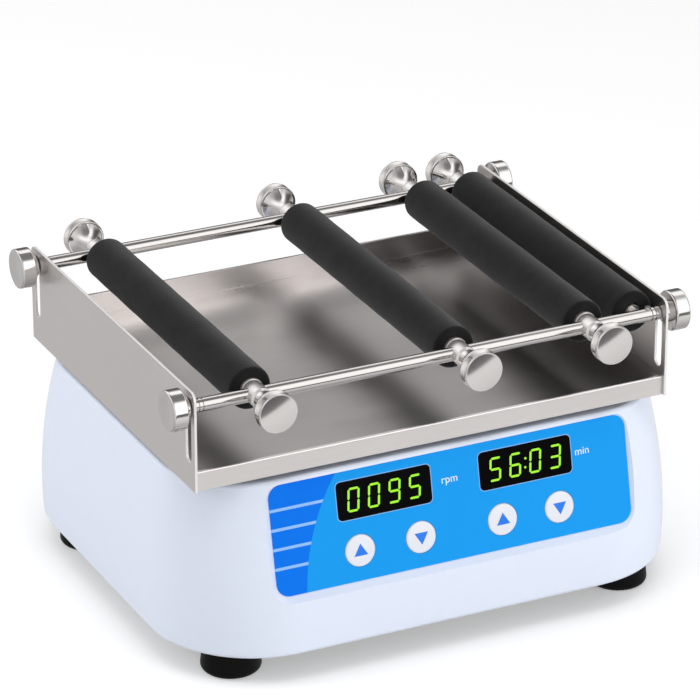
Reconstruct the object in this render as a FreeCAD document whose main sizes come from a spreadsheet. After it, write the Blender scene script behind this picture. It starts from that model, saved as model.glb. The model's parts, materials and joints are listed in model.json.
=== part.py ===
import FreeCAD, Part
import math
import os
import Sketcher

# Open benchtop orbital shaker, in millimetres.
# +Z is up, the control panel faces -Y, +X is to the right of someone who faces it.
# The origin lies on the bench, at the centre of the space that the machine takes up at rest.

os.makedirs("parts", exist_ok=True)

SIZES = {
    # How far the crank pins stand from the drive shaft at rest, to the left and to the front
    "orbit_left": 4, "orbit_front": 3,
    # Gaps: between fixed pieces, between moving pieces, round a running shaft, and what a cut runs past
    "seat_gap": 0.4, "move_gap": 0.4, "run_gap": 0.05, "overrun": 1,
    # Moulded housing: hem, skirt up to the belly, then the leaning walls up to the shoulder
    "housing_width": 285, "housing_depth": 243, "housing_wall": 3,
    "hem_height": 15, "skirt_rise": 31, "front_rise": 60,
    "shoulder_inset": 7, "shoulder_setback": 13, "belly_corner": 57, "shoulder_corner": 48,
    "hem_inset": 0.4, "hem_round": 3.6, "hem_lip_inset": 7, "hem_lip_height": 5,
    "top_edge_round": 3, "boss_radius": 6, "boss_hole_radius": 2.1, "boss_hole_depth": 14,
    "crank_window_radius": 17, "idler_window_radius": 11,
    # Control panel: its flat lies behind the chord of the leaning front wall
    "panel_right": 3.3, "panel_depth": 3.4, "panel_slope": 3.6, "panel_top_slope": 0.8,
    "panel_clear_reach": 8, "panel_backing": 2.6, "panel_corner": 7, "backing_margin": 7,
    "label_side_clear": 43, "label_end_clear": 1.5, "label_thickness": 0.4,
    "window_width": 52, "window_top_clear": 5.1, "window_key_gap": 8.6, "window_thickness": 0.6,
    "window_corner": 2.5, "window_frame": 3, "rpm_window_left": 37.2, "time_window_right": 41.8,
    "display_margin": 1.5, "key_bottom_clear": 7.5, "key_radius": 8,
    "rpm_up_left": 53.1, "rpm_down_left": 19.4, "time_up_right": 26.4, "time_down_right": 58.8,
    "key_proud": 1, "key_travel": 0.5, "key_flange": 1, "key_flange_lip": 1, "key_stem_radius": 2.5,
    "key_stem_length": 2.2, "key_dome": 0.4, "tact_size": 6, "tact_height": 3.4,
    "board_margin": 4, "board_thickness": 1.6, "board_post_radius": 3, "board_post_inset": 5,
    # Feet and base plate
    "foot_side_inset": 32.5, "foot_end_inset": 30.5, "rear_foot_side_inset": 23.5, "rear_foot_end_inset": 51.5,
    "foot_radius": 15.5, "foot_neck_radius": 14.4,
    "foot_tread_radius": 12.3, "foot_round": 3.2, "foot_recess_radius": 5.5, "foot_recess_depth": 7,
    "foot_screw_radius": 2, "foot_screw_head_radius": 4.5, "foot_screw_head": 3, "foot_screw_length": 22,
    "base_plate_thickness": 2, "base_plate_gap": 1,
    # Rear of the housing
    "rear_well_width": 104, "rear_well_height": 34, "rear_well_depth": 5.4, "rear_well_corner": 4,
    "rear_well_backing": 3, "socket_right": 26, "socket_width": 27, "socket_height": 20,
    "socket_depth": 22, "socket_rim": 2.5, "socket_flange": 1.8, "socket_wall": 2.2, "socket_floor": 4,
    "contact_width": 4, "contact_thickness": 2, "contact_length": 14, "contact_pitch": 7,
    "switch_left": 26, "switch_width": 13, "switch_height": 19, "switch_depth": 17, "switch_rim": 2.2,
    "switch_flange": 1.8, "switch_wall": 1.4, "switch_floor": 3, "rocker_proud": 2.2, "rocker_dip": 0.3,
    "rocker_tilt": 8,
    # Inside: deck, pillars, drive
    "deck_side_clear": 30, "deck_end_clear": 45.5, "deck_thickness": 7, "deck_drop": 20, "deck_corner": 12,
    "pillar_side_inset": 10, "pillar_end_inset": 6, "pillar_radius": 5,
    "idler_side_inset": 20.5, "idler_end_inset": 14, "idler_bearing_radius": 8, "idler_bearing_width": 5,
    "idler_pin_radius": 2.5, "idler_disc_radius": 10,
    "shaft_radius": 4, "shaft_bearing_radius": 11, "shaft_bearing_width": 7, "crank_disc_radius": 14,
    "crank_disc_lift": 1, "crank_disc_thickness": 4, "shaft_end_gap": 0.6,
    "bearing_race": 1.2, "bearing_shield_dip": 0.5,
    "shaft_block_radius": 17, "shaft_block_height": 8,
    "drive_pulley_radius": 45, "drive_pulley_lift": 3, "pulley_height": 10, "pulley_flange": 1.6,
    "pulley_groove_depth": 2.6, "pulley_hub_radius": 9, "pulley_hub_rise": 8,
    "counterweight_radius": 42, "counterweight_drop": 13, "counterweight_thickness": 11,
    "counterweight_hub_radius": 11,
    "motor_left": 75, "motor_radius": 21, "motor_pulley_radius": 8,
    "motor_boss_radius": 7, "motor_boss_height": 3, "motor_shaft_radius": 2.5, "motor_shaft_tail": 2,
    "bracket_width": 54, "bracket_depth": 62, "bracket_thickness": 3, "belt_width": 6, "belt_thickness": 1.5,
    "belt_gap": 0.3,
    "supply_length": 84, "supply_width": 40, "supply_height": 25, "supply_gap": 7,
    "supply_foot": 2, "supply_board": 1.6, "supply_inset": 2,
    # Tray: a folded platform between two side plates, on a carrier
    "tray_inset": 4.5, "tray_gap": 2.5, "lip_height": 10.5,
    "sheet_thickness": 1.2, "plate_thickness": 1.5, "plate_rise": 9.3, "plate_chamfer": 5,
    "lip_setback": 1.8, "upstand_setback": 9, "upstand_height": 11.8, "upstand_hem": 2.2,
    "carrier_side_inset": 15, "carrier_end_inset": 18, "carrier_thickness": 5, "carrier_corner": 14,
    "carrier_boss_radius": 17, "platform_screw_right": 60, "platform_screw_back": 50,
    "platform_screw_radius": 2, "platform_screw_head_radius": 3.9,
    # Rods, their slots in the side plates and the end knobs
    "rod_radius": 3.5, "rod_neck_radius": 3, "rod_inset": 7.4, "rod_rise": 32.8,
    "rod_groove_depth": 0.5, "rod_groove_width": 0.8, "rod_groove_pitch": 2.2,
    "rod_end_gap": 0.6, "slot_gap": 0.3, "slot_floor_rise": 6.8,
    "end_knob_radius": 10.5, "end_knob_length": 8, "end_knob_boss_radius": 5.5, "end_knob_boss": 3,
    "knob_edge": 0.8, "knob_dish": 0.5, "end_knob_bore": 6,
    "grub_radius": 1.4, "grub_rise": 1, "grub_inset": 5,
    # Padded bars and the thumb knobs that clamp them to the rods
    "foam_radius": 11.3, "foam_end_gap": 2.6, "foam_round": 3, "core_radius": 4, "collar_radius": 5.6,
    "collar_step": 0.4, "collar_step_length": 1.6, "collar_front": 4.2, "collar_chamfer": 1,
    "thumb_radius": 10.3, "thumb_length": 7.2, "thumb_cone": 11.8, "thumb_neck_radius": 5,
    "thumb_cone_radius": 9.3, "thumb_shank_radius": 2.5,
    "spigot_radius": 2.5, "spigot_reach": 2,
    "bar_one_inset": 36.2, "bar_two_right": 16.5, "bar_three_step": 28.3,
}

# Shares of the sizes that they follow
MID_HEIGHT_SHARE = 0.5
CAP_ROUND_SHARE = 0.98
MID_INSET_SHARE = 0.36
CONTACT_RISE_SHARE = 0.35
CAPACITOR_HEIGHT_SHARE = 0.5

doc = FreeCAD.newDocument("orbital_shaker")
sheet = doc.addObject("Spreadsheet::Sheet", "Sizes")
for row, (name, number) in enumerate(SIZES.items(), start=1):
    sheet.set("A%d" % row, name)
    sheet.set("B%d" % row, str(number))
    sheet.setAlias("B%d" % row, name)
doc.recompute()


class Dim:
    """A length that knows its value and the sheet formula that gives it."""

    def __init__(self, value, text):
        self.value = float(value)
        self.text = text

    def __add__(self, other):
        return join(self, other, "+", lambda a, b: a + b)

    def __radd__(self, other):
        return join(other, self, "+", lambda a, b: a + b)

    def __sub__(self, other):
        return join(self, other, "-", lambda a, b: a - b)

    def __rsub__(self, other):
        return join(other, self, "-", lambda a, b: a - b)

    def __mul__(self, other):
        return join(self, other, "*", lambda a, b: a * b)

    def __rmul__(self, other):
        return join(other, self, "*", lambda a, b: a * b)

    def __truediv__(self, other):
        return join(self, other, "/", lambda a, b: a / b)

    def __neg__(self):
        return Dim(-self.value, "(-1 * %s)" % self.text)


def value_of(number):
    return number.value if isinstance(number, Dim) else float(number)


def text_of(number):
    return number.text if isinstance(number, Dim) else "%.9g" % number


def join(left, right, sign, act):
    return Dim(act(value_of(left), value_of(right)), "(%s %s %s)" % (text_of(left), sign, text_of(right)))


class SheetNames:
    """Gives each named size of the sheet as a Dim, so that formulas read as plain arithmetic."""

    def __getattr__(self, name):
        return Dim(SIZES[name], "Sizes." + name)


S = SheetNames()
PARTS = []
UPRIGHT = FreeCAD.Rotation()
ALONG_X = FreeCAD.Rotation(FreeCAD.Vector(0, 1, 0), 90)
AGAINST_X = FreeCAD.Rotation(FreeCAD.Vector(0, 1, 0), -90)
ALONG_Y = FreeCAD.Rotation(FreeCAD.Vector(1, 0, 0), -90)
AGAINST_Y = FreeCAD.Rotation(FreeCAD.Vector(1, 0, 0), 90)
# Turns a flat outline drawn in X and Y so that it stands in Y and Z and grows along +X
SIDEWAYS = FreeCAD.Rotation(FreeCAD.Vector(1, 1, 1), 120)
# Turns an outline so that its X runs down, its Y points to the back and it grows along +X
ROCKER_TURN = FreeCAD.Rotation(FreeCAD.Vector(0, 0, -1), FreeCAD.Vector(0, 1, 0), FreeCAD.Vector(1, 0, 0),
                               "ZXY")
ROCKER_TILT = FreeCAD.Rotation(FreeCAD.Vector(1, 0, 0), SIZES["rocker_tilt"])


def bind(thing, path, number):
    """Ties a property to the sheet where its value is a Dim."""
    if isinstance(number, Dim):
        thing.setExpression(path, number.text)


def place(thing, x=0, y=0, z=0, turn=UPRIGHT):
    spot = FreeCAD.Vector(value_of(x), value_of(y), value_of(z))
    thing.Placement = FreeCAD.Placement(spot, turn)
    for axis, number in zip("xyz", (x, y, z)):
        bind(thing, "Placement.Base." + axis, number)
    return thing


def block(name, size, x=0, y=0, z=0, turn=UPRIGHT):
    """A box centred on x and y that stands on z."""
    box = doc.addObject("Part::Box", name)
    for side, number in zip(("Length", "Width", "Height"), size):
        setattr(box, side, value_of(number))
        bind(box, side, number)
    return place(box, x - size[0] / 2, y - size[1] / 2, z, turn)


def rod(name, radius, length, x=0, y=0, z=0, turn=UPRIGHT):
    bar = doc.addObject("Part::Cylinder", name)
    bar.Radius = value_of(radius)
    bar.Height = value_of(length)
    bind(bar, "Radius", radius)
    bind(bar, "Height", length)
    return place(bar, x, y, z, turn)


def joined(name, pieces):
    if len(pieces) == 1:
        return pieces[0]
    union = doc.addObject("Part::MultiFuse", name)
    union.Shapes = pieces
    return union


def group(name, pieces):
    """Like pieces that stay separate solids in one node."""
    together = doc.addObject("Part::Compound", name)
    together.Links = pieces
    return together


def shared(name, first, second):
    """The space that two pieces have in common."""
    common = doc.addObject("Part::MultiCommon", name)
    common.Shapes = [first, second]
    return common


def without(name, base, tool):
    rest = doc.addObject("Part::Cut", name)
    rest.Base = base
    rest.Tool = tool
    return rest


def keep(thing, node):
    """Names a finished piece as a node of the machine."""
    thing.Label = node
    PARTS.append(thing)
    return thing


def new_body(name):
    return doc.addObject("PartDesign::Body", name)


def new_sketch(body, name, role="XY_Plane", lift=0):
    sketch = body.newObject("Sketcher::SketchObject", name)
    plane = [item for item in body.Origin.OriginFeatures if item.Role == role][0]
    sketch.AttachmentSupport = (plane, "")
    sketch.MapMode = "FlatFace"
    if isinstance(lift, Dim):
        sketch.AttachmentOffset = FreeCAD.Placement(FreeCAD.Vector(0, 0, lift.value), UPRIGHT)
        bind(sketch, "AttachmentOffset.Base.z", lift)
    return sketch


def fix_point(sketch, edge, end, x, y):
    """Holds one end of an edge at a named place, or on the axis where the place is zero."""
    for kind, number, axis in (("DistanceX", x, -2), ("DistanceY", y, -1)):
        if value_of(number) == 0:
            sketch.addConstraint(Sketcher.Constraint("PointOnObject", edge, end, axis))
            continue
        index = sketch.addConstraint(Sketcher.Constraint(kind, -1, 1, edge, end, value_of(number)))
        bind(sketch, "Constraints[%d]" % index, number)


def outline(sketch, points):
    """Draws a closed outline. A point is (x, y), or (x, y, radius) where an arc arrives at it:
    a positive radius turns to the left on its way, a negative one to the right."""
    first = sketch.GeometryCount
    count = len(points)
    spots = [FreeCAD.Vector(value_of(p[0]), value_of(p[1]), 0) for p in points]
    for index in range(count):
        start = spots[index]
        goal = spots[(index + 1) % count]
        arrival = points[(index + 1) % count]
        if len(arrival) == 2:
            sketch.addGeometry(Part.LineSegment(start, goal), False)
            continue
        radius = abs(value_of(arrival[2]))
        left = value_of(arrival[2]) > 0
        half = (goal - start) * 0.5
        side = FreeCAD.Vector(-half.y, half.x, 0).normalize() * (1 if left else -1)
        centre = start + half + side * math.sqrt(max(radius ** 2 - half.Length ** 2, 0))
        low, high = (start, goal) if left else (goal, start)
        begin = math.atan2(low.y - centre.y, low.x - centre.x)
        finish = math.atan2(high.y - centre.y, high.x - centre.x)
        circle = Part.Circle(centre, FreeCAD.Vector(0, 0, 1), radius)
        sketch.addGeometry(Part.ArcOfCircle(circle, begin, finish), False)
    ends = [(1, 2)] * count
    for index in range(count):
        arrival = points[(index + 1) % count]
        if len(arrival) == 3 and value_of(arrival[2]) < 0:
            ends[index] = (2, 1)
    for index in range(count):
        edge = first + index
        following = first + (index + 1) % count
        near = ends[(index + 1) % count][0]
        sketch.addConstraint(Sketcher.Constraint("Coincident", edge, ends[index][1], following, near))
        fix_point(sketch, edge, ends[index][0], points[index][0], points[index][1])
        arrival = points[(index + 1) % count]
        if len(arrival) == 3:
            radius = arrival[2] if value_of(arrival[2]) > 0 else -arrival[2]
            number = sketch.addConstraint(Sketcher.Constraint("Radius", edge, value_of(radius)))
            bind(sketch, "Constraints[%d]" % number, radius)


def rounded(width, depth, corner, x=0, y=0):
    """The points of a rounded rectangle, centred on x and y. Its last edge is its fourth corner."""
    right, left = x + width / 2, x - width / 2
    back, front = y + depth / 2, y - depth / 2
    return [(left + corner, front, corner), (right - corner, front), (right, front + corner, corner),
            (right, back - corner), (right - corner, back, corner), (left + corner, back),
            (left, back - corner, corner), (left, front + corner)]


def slab(name, points, thickness, x=0, y=0, z=0, turn=UPRIGHT):
    """A flat piece: an outline and its thickness, along +Z before it is turned."""
    body = new_body(name)
    sketch = new_sketch(body, name + "_outline")
    outline(sketch, points)
    pad = body.newObject("PartDesign::Pad", name + "_pad")
    pad.Profile = sketch
    pad.Length = value_of(thickness)
    bind(pad, "Length", thickness)
    body.Tip = pad
    return place(body, x, y, z, turn)


def rounded_slab(name, width, depth, corner, thickness, x=0, y=0, z=0, turn=UPRIGHT):
    return slab(name, rounded(width, depth, corner), thickness, x, y, z, turn)


def turned(name, profile, x=0, y=0, z=0, turn=UPRIGHT):
    """A lathe piece: a profile of (radius, height) points, turned about its own Z."""
    body = new_body(name)
    sketch = new_sketch(body, name + "_profile", "XZ_Plane")
    outline(sketch, profile)
    lathe = body.newObject("PartDesign::Revolution", name + "_lathe")
    lathe.Profile = sketch
    lathe.ReferenceAxis = (sketch, ["V_Axis"])
    lathe.Angle = 360
    body.Tip = lathe
    return place(body, x, y, z, turn)


def add_rings(body, name, sections):
    """Sketches of rounded rectangles (width, depth, corner, height), one above the other."""
    rings = []
    for index, (width, depth, corner, height) in enumerate(sections):
        sketch = new_sketch(body, "%s_ring_%d" % (name, index), "XY_Plane", height)
        outline(sketch, rounded(width, depth, corner))
        rings.append(sketch)
    return rings


def rounded_edges(body, name, before, edges, radius):
    edge_round = body.newObject("PartDesign::Fillet", name)
    edge_round.Base = (before, edges)
    edge_round.Radius = value_of(radius)
    bind(edge_round, "Radius", radius)
    body.Tip = edge_round
    return edge_round


def lofted(name, sections, cap_height=None, low_round=None):
    """A body through rounded rectangles, with a cap and rounded ends where those are asked for."""
    body = new_body(name)
    rings = add_rings(body, name, sections)
    skin = body.newObject("PartDesign::AdditiveLoft", name + "_skin")
    skin.Profile = rings[0]
    skin.Sections = rings[1:]
    body.Tip = skin
    if cap_height is None:
        return body
    cap = body.newObject("PartDesign::Pad", name + "_cap")
    cap.Profile = add_rings(body, name + "_cap", sections[-1:])[0]
    cap.Length = value_of(cap_height)
    bind(cap, "Length", cap_height)
    body.Tip = cap
    doc.recompute()
    upper = rounded_edges(body, name + "_top_round", cap, face_edges(body.Shape, True),
                          cap_height * CAP_ROUND_SHARE)
    doc.recompute()
    rounded_edges(body, name + "_low_round", upper, face_edges(body.Shape, False), low_round)
    return body


def face_edges(shape, highest):
    """Names the edges round the highest or the lowest face."""
    pick = max if highest else min
    chosen = pick(shape.Faces, key=lambda face: face.CenterOfMass.z)
    names = []
    for index, edge in enumerate(shape.Edges, start=1):
        if any(edge.isSame(other) for other in chosen.Edges):
            names.append("Edge%d" % index)
    return names


# Heights and outlines that several pieces share
floor_top = S.hem_height + S.base_plate_thickness
belly_height = S.hem_height + S.skirt_rise
housing_top = belly_height + S.front_rise
shoulder_width = S.housing_width - 2 * S.shoulder_inset
shoulder_depth = S.housing_depth - 2 * S.shoulder_setback
tray_width = shoulder_width - 2 * S.tray_inset
tray_depth = shoulder_depth - 2 * S.tray_inset
tray_bottom = housing_top + S.tray_gap
platform_height = tray_bottom + S.lip_height
rod_height = platform_height + S.rod_rise
rod_y = tray_depth / 2 - S.rod_inset
carrier_width = tray_width - 2 * S.carrier_side_inset
carrier_depth = tray_depth - 2 * S.carrier_end_inset
carrier_low = platform_height - S.sheet_thickness - S.carrier_thickness
deck_width = S.housing_width - 2 * S.deck_side_clear
deck_depth = S.housing_depth - 2 * S.deck_end_clear
deck_bottom = housing_top - S.deck_drop
deck_top = deck_bottom + S.deck_thickness
pillar_right = deck_width / 2 - S.pillar_side_inset
pillar_back = deck_depth / 2 - S.pillar_end_inset
idler_right = deck_width / 2 - S.idler_side_inset
idler_back = deck_depth / 2 - S.idler_end_inset
drive_pulley_bottom = floor_top + S.shaft_block_height + S.drive_pulley_lift
motor_top = deck_bottom - S.bracket_thickness
motor_nose_low = drive_pulley_bottom + S.pulley_height
motor_length = motor_top - motor_nose_low - S.motor_boss_height

# The control panel's flat, measured from its centre, and what lies behind it
label_width = S.housing_width - 2 * S.label_side_clear
label_height = S.front_rise - 2 * S.label_end_clear
key_drop = label_height / 2 - S.key_bottom_clear - S.key_radius
window_height = label_height - S.window_top_clear - S.window_key_gap - 2 * S.key_radius - S.key_bottom_clear
window_rise = label_height / 2 - S.window_top_clear - window_height / 2
window_places = [-S.rpm_window_left, S.time_window_right]
key_places = [("rpm_up_key", -S.rpm_up_left), ("rpm_down_key", -S.rpm_down_left),
              ("time_up_key", S.time_up_right), ("time_down_key", S.time_down_right)]
wall_back = S.panel_depth + S.panel_backing
key_stem_end = wall_back + S.move_gap + S.key_flange + S.key_stem_length
board_front = key_stem_end + S.key_travel + S.move_gap + S.tact_height
board_width = label_width - 2 * S.board_margin
board_height = label_height - 2 * S.board_margin

# Where the drive shaft and the tray stand: the farthest knobs reach as far out as the housing's
# other side and its back, so that the machine's box is centred on the origin
pad_reach = tray_width / 2 + S.end_knob_boss + S.end_knob_length + S.seat_gap
collar_end = rod_y + S.rod_radius + S.collar_front
thumb_reach = collar_end + S.move_gap + S.thumb_cone + S.thumb_length
drive_x = (S.orbit_left + pad_reach - S.housing_width / 2) / 2
drive_y = (S.orbit_front + thumb_reach - S.housing_depth / 2) / 2
tray_x = drive_x - S.orbit_left
tray_y = drive_y - S.orbit_front
well_y = drive_y + S.housing_depth / 2 - S.rear_well_depth
panel_tilt = math.degrees(math.atan2(SIZES["shoulder_setback"], SIZES["front_rise"]))
panel_y = drive_y - (S.housing_depth + shoulder_depth) / 4
panel_z = (belly_height + housing_top) / 2
PANEL_LEAN = FreeCAD.Rotation(FreeCAD.Vector(1, 0, 0), -panel_tilt)
CORNERS = [(-1, -1), (1, -1), (-1, 1), (1, 1)]

# The front feet stand near the corners, the rear ones nearer to the sides
front_foot = (S.housing_width / 2 - S.foot_side_inset, drive_y - S.housing_depth / 2 + S.foot_end_inset)
rear_foot = (S.housing_width / 2 - S.rear_foot_side_inset, drive_y + S.housing_depth / 2 - S.rear_foot_end_inset)
foot_spots = [(drive_x + side * across, y) for across, y in (front_foot, rear_foot) for side in (-1, 1)]


def on_panel(thing):
    """Seats a piece that was built upright about the panel's centre: X right, Z up, -Y outwards."""
    return place(thing, drive_x + S.panel_right, panel_y, panel_z, PANEL_LEAN)


def housing_rings(wall=0):
    """The housing's rounded rectangles from its hem to its top, all set in by the wall."""
    rings = []
    table = [(S.hem_height, S.hem_inset, S.hem_inset, 0),
             (belly_height, 0, 0, 0),
             (belly_height + S.front_rise * MID_HEIGHT_SHARE, S.shoulder_inset * MID_INSET_SHARE,
              S.shoulder_setback * MID_INSET_SHARE, (S.belly_corner - S.shoulder_corner) * MID_INSET_SHARE),
             (housing_top - S.top_edge_round, S.shoulder_inset, S.shoulder_setback,
              S.belly_corner - S.shoulder_corner)]
    for height, side_inset, end_inset, corner_loss in table:
        width = S.housing_width - 2 * (side_inset + wall)
        depth = S.housing_depth - 2 * (end_inset + wall)
        rings.append((width, depth, S.belly_corner - corner_loss - wall, height))
    return rings


def make_housing():
    outer = housing_rings()
    inner = housing_rings(S.housing_wall)
    low = inner[0]
    inner[0] = (low[0], low[1], low[2], S.hem_height + S.hem_lip_height)
    outside = place(lofted("housing_outside", outer, S.top_edge_round, S.hem_round), drive_x, drive_y)
    opening = rounded_slab("hem_opening", S.housing_width - 2 * S.hem_lip_inset,
                           S.housing_depth - 2 * S.hem_lip_inset, S.belly_corner - S.hem_lip_inset,
                           S.hem_lip_height + 2 * S.overrun, drive_x, drive_y, S.hem_height - S.overrun)
    inside = joined("housing_hollow", [place(lofted("housing_inside", inner), drive_x, drive_y), opening])
    shell = without("housing_shell", outside, inside)
    backing_width = label_width + 2 * S.backing_margin
    backing_height = label_height + 2 * S.panel_slope
    backing_depth = S.panel_clear_reach + S.panel_depth + S.panel_backing
    backing = block("panel_backing", (backing_width, backing_depth, backing_height),
                    0, wall_back - backing_depth / 2, -backing_height / 2)
    posts = [rod("board_post_%d" % index, S.board_post_radius, board_front - S.panel_depth,
                 side * (board_width / 2 - S.board_post_inset), S.panel_depth,
                 level * (board_height / 2 - S.board_post_inset), ALONG_Y)
             for index, (side, level) in enumerate(CORNERS)]
    panel_solids = on_panel(joined("panel_solids", [backing] + posts))
    rear_backing = block("rear_backing", (S.rear_well_width + S.rear_well_corner, S.rear_well_backing,
                                          S.rear_well_height + S.rear_well_corner),
                         drive_x, well_y - S.rear_well_backing / 2,
                         belly_height - (S.rear_well_height + S.rear_well_corner) / 2)
    bosses = [rod("foot_boss_%d" % index, S.boss_radius,
                  housing_top - S.housing_wall / 2 - floor_top, x, y, floor_top)
              for index, (x, y) in enumerate(foot_spots)]
    ribs = shared("housing_ribs", outside, joined("rib_solids", [panel_solids, rear_backing]))
    solid = joined("housing_solid", [shell, ribs] + bosses)
    cuts = [panel_recess(), on_panel(joined("panel_holes", panel_hole_tools()))]
    cuts.append(rounded_slab("rear_well", S.rear_well_width, S.rear_well_height, S.rear_well_corner,
                             S.rear_well_depth + S.overrun, drive_x, well_y, belly_height, ALONG_Y))
    cuts.append(block("socket_hole", (S.socket_width + S.seat_gap, S.rear_well_backing + 2 * S.overrun,
                                      S.socket_height + S.seat_gap),
                      drive_x + S.socket_right, well_y - S.rear_well_backing / 2,
                      belly_height - (S.socket_height + S.seat_gap) / 2))
    cuts.append(block("switch_hole", (S.switch_width + S.seat_gap, S.rear_well_backing + 2 * S.overrun,
                                      S.switch_height + S.seat_gap),
                      drive_x - S.switch_left, well_y - S.rear_well_backing / 2,
                      belly_height - (S.switch_height + S.seat_gap) / 2))
    top_cut = S.housing_wall + 2 * S.overrun
    top_low = housing_top - S.housing_wall - S.overrun
    cuts.append(rod("crank_window", S.crank_window_radius, top_cut, drive_x, drive_y, top_low))
    for index, (side, end) in enumerate(CORNERS):
        cuts.append(rod("idler_window_%d" % index, S.idler_window_radius, top_cut,
                        drive_x + side * idler_right, drive_y + end * idler_back, top_low))
    for index, (x, y) in enumerate(foot_spots):
        cuts.append(rod("boss_hole_%d" % index, S.boss_hole_radius, S.boss_hole_depth + S.overrun, x, y,
                        floor_top - S.overrun))
    keep(without("housing_body", solid, joined("housing_cuts", cuts)), "housing")


def panel_recess():
    """A rounded pocket with sloping sides, steep along the top, cut past the bulge of the wall."""
    reach = S.panel_depth + S.panel_clear_reach
    spread = S.panel_slope / S.panel_depth * reach
    rise = S.panel_top_slope / S.panel_depth * reach
    width = label_width + S.seat_gap
    height = label_height + S.seat_gap
    body = new_body("panel_recess")
    floor_sketch = new_sketch(body, "recess_floor", "XZ_Plane", -S.panel_depth)
    outline(floor_sketch, rounded(width, height, S.panel_corner))
    mouth_sketch = new_sketch(body, "recess_mouth", "XZ_Plane", S.panel_clear_reach)
    corner = S.panel_corner + (spread + rise) / 2
    outline(mouth_sketch, rounded(width + 2 * spread, height + spread + rise, corner, 0,
                                  (rise - spread) / 2))
    pocket = body.newObject("PartDesign::AdditiveLoft", "recess_loft")
    pocket.Profile = floor_sketch
    pocket.Sections = [mouth_sketch]
    pocket.Ruled = True
    body.Tip = pocket
    return on_panel(body)


def panel_hole_tools():
    tools = []
    depth = S.panel_backing + 2 * S.overrun
    for index, across in enumerate(window_places):
        width = S.window_width - 2 * S.window_frame
        height = window_height - 2 * S.window_frame
        tools.append(block("window_hole_%d" % index, (width, depth, height), across,
                           S.panel_depth - S.overrun + depth / 2, window_rise - height / 2))
    for name, across in key_places:
        tools.append(rod(name + "_hole", S.key_radius + S.move_gap, depth, across,
                         S.panel_depth - S.overrun, -key_drop, ALONG_Y))
    return tools


def make_panel():
    face = S.panel_depth
    sheet_body = rounded_slab("label_sheet", label_width, label_height, S.panel_corner,
                              S.label_thickness, 0, face, 0, AGAINST_Y)
    tools = []
    for index, across in enumerate(window_places):
        tools.append(rounded_slab("label_window_%d" % index, S.window_width, window_height,
                                  S.window_corner, S.label_thickness + 2 * S.overrun, across,
                                  face + S.overrun, window_rise, AGAINST_Y))
    for name, across in key_places:
        tools.append(rod("label_" + name, S.key_radius + S.move_gap, S.label_thickness + 2 * S.overrun,
                         across, face + S.overrun, -key_drop, AGAINST_Y))
    keep(on_panel(without("label_body", sheet_body, joined("label_cuts", tools))), "panel_label")
    windows = [rounded_slab("window_%d" % index, S.window_width, window_height, S.window_corner,
                            S.window_thickness, across, face, window_rise, AGAINST_Y)
               for index, across in enumerate(window_places)]
    keep(on_panel(group("window_pair", windows)), "display_windows")
    displays = []
    for index, across in enumerate(window_places):
        width = S.window_width - 2 * (S.window_frame + S.display_margin)
        height = window_height - 2 * (S.window_frame + S.display_margin)
        length = board_front - face - S.seat_gap
        displays.append(block("display_%d" % index, (width, length, height), across,
                              face + S.seat_gap + length / 2, window_rise - height / 2))
    keep(on_panel(group("display_pair", displays)), "led_displays")
    board = block("board", (board_width, S.board_thickness, board_height), 0,
                  board_front + S.board_thickness / 2, -board_height / 2)
    keep(on_panel(group("board_only", [board])), "control_board")
    switches = []
    for name, across in key_places:
        switches.append(block("tact_" + name, (S.tact_size, S.tact_height, S.tact_size), across,
                              board_front - S.tact_height / 2, -key_drop - S.tact_size / 2))
    keep(on_panel(group("tact_group", switches)), "key_switches")
    for name, across in key_places:
        front = S.label_thickness + S.key_proud - face
        back = wall_back + S.move_gap
        flange_back = back + S.key_flange
        profile = [(0, front), (S.key_radius - S.key_dome, front),
                   (S.key_radius, front - S.key_dome), (S.key_radius, -back),
                   (S.key_radius + S.key_flange_lip, -back), (S.key_radius + S.key_flange_lip, -flange_back),
                   (S.key_stem_radius, -flange_back), (S.key_stem_radius, -key_stem_end),
                   (0, -key_stem_end)]
        cap = turned(name + "_cap", profile, across, 0, -key_drop, AGAINST_Y)
        keep(on_panel(group(name + "_group", [cap])), name)


def make_base():
    plate_width = S.housing_width - 2 * (S.hem_lip_inset + S.base_plate_gap)
    plate_depth = S.housing_depth - 2 * (S.hem_lip_inset + S.base_plate_gap)
    corner = S.belly_corner - S.hem_lip_inset - S.base_plate_gap
    plate = rounded_slab("base_sheet", plate_width, plate_depth, corner,
                         S.base_plate_thickness, drive_x, drive_y, S.hem_height)
    holes = [rod("base_hole_%d" % index, S.foot_screw_radius + S.seat_gap / 2,
                 S.base_plate_thickness + 2 * S.overrun, x, y, S.hem_height - S.overrun)
             for index, (x, y) in enumerate(foot_spots)]
    keep(without("base_plate_body", plate, joined("base_holes", holes)), "base_plate")
    hole = S.foot_screw_radius + S.seat_gap / 2
    profile = [(S.foot_recess_radius, 0), (S.foot_tread_radius, 0),
               (S.foot_radius, S.foot_radius - S.foot_tread_radius, S.foot_round),
               (S.foot_neck_radius, S.hem_height), (hole, S.hem_height),
               (hole, S.foot_recess_depth), (S.foot_recess_radius, S.foot_recess_depth)]
    feet = [turned("foot_%d" % index, profile, x, y) for index, (x, y) in enumerate(foot_spots)]
    keep(group("foot_group", feet), "rubber_feet")
    screw = [(0, -S.foot_screw_head), (S.foot_screw_head_radius, -S.foot_screw_head),
             (S.foot_screw_head_radius, 0), (S.foot_screw_radius, 0),
             (S.foot_screw_radius, S.foot_screw_length), (0, S.foot_screw_length)]
    screws = [turned("foot_screw_%d" % index, screw, x, y, S.foot_recess_depth)
              for index, (x, y) in enumerate(foot_spots)]
    keep(group("foot_screw_group", screws), "foot_screws")


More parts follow.
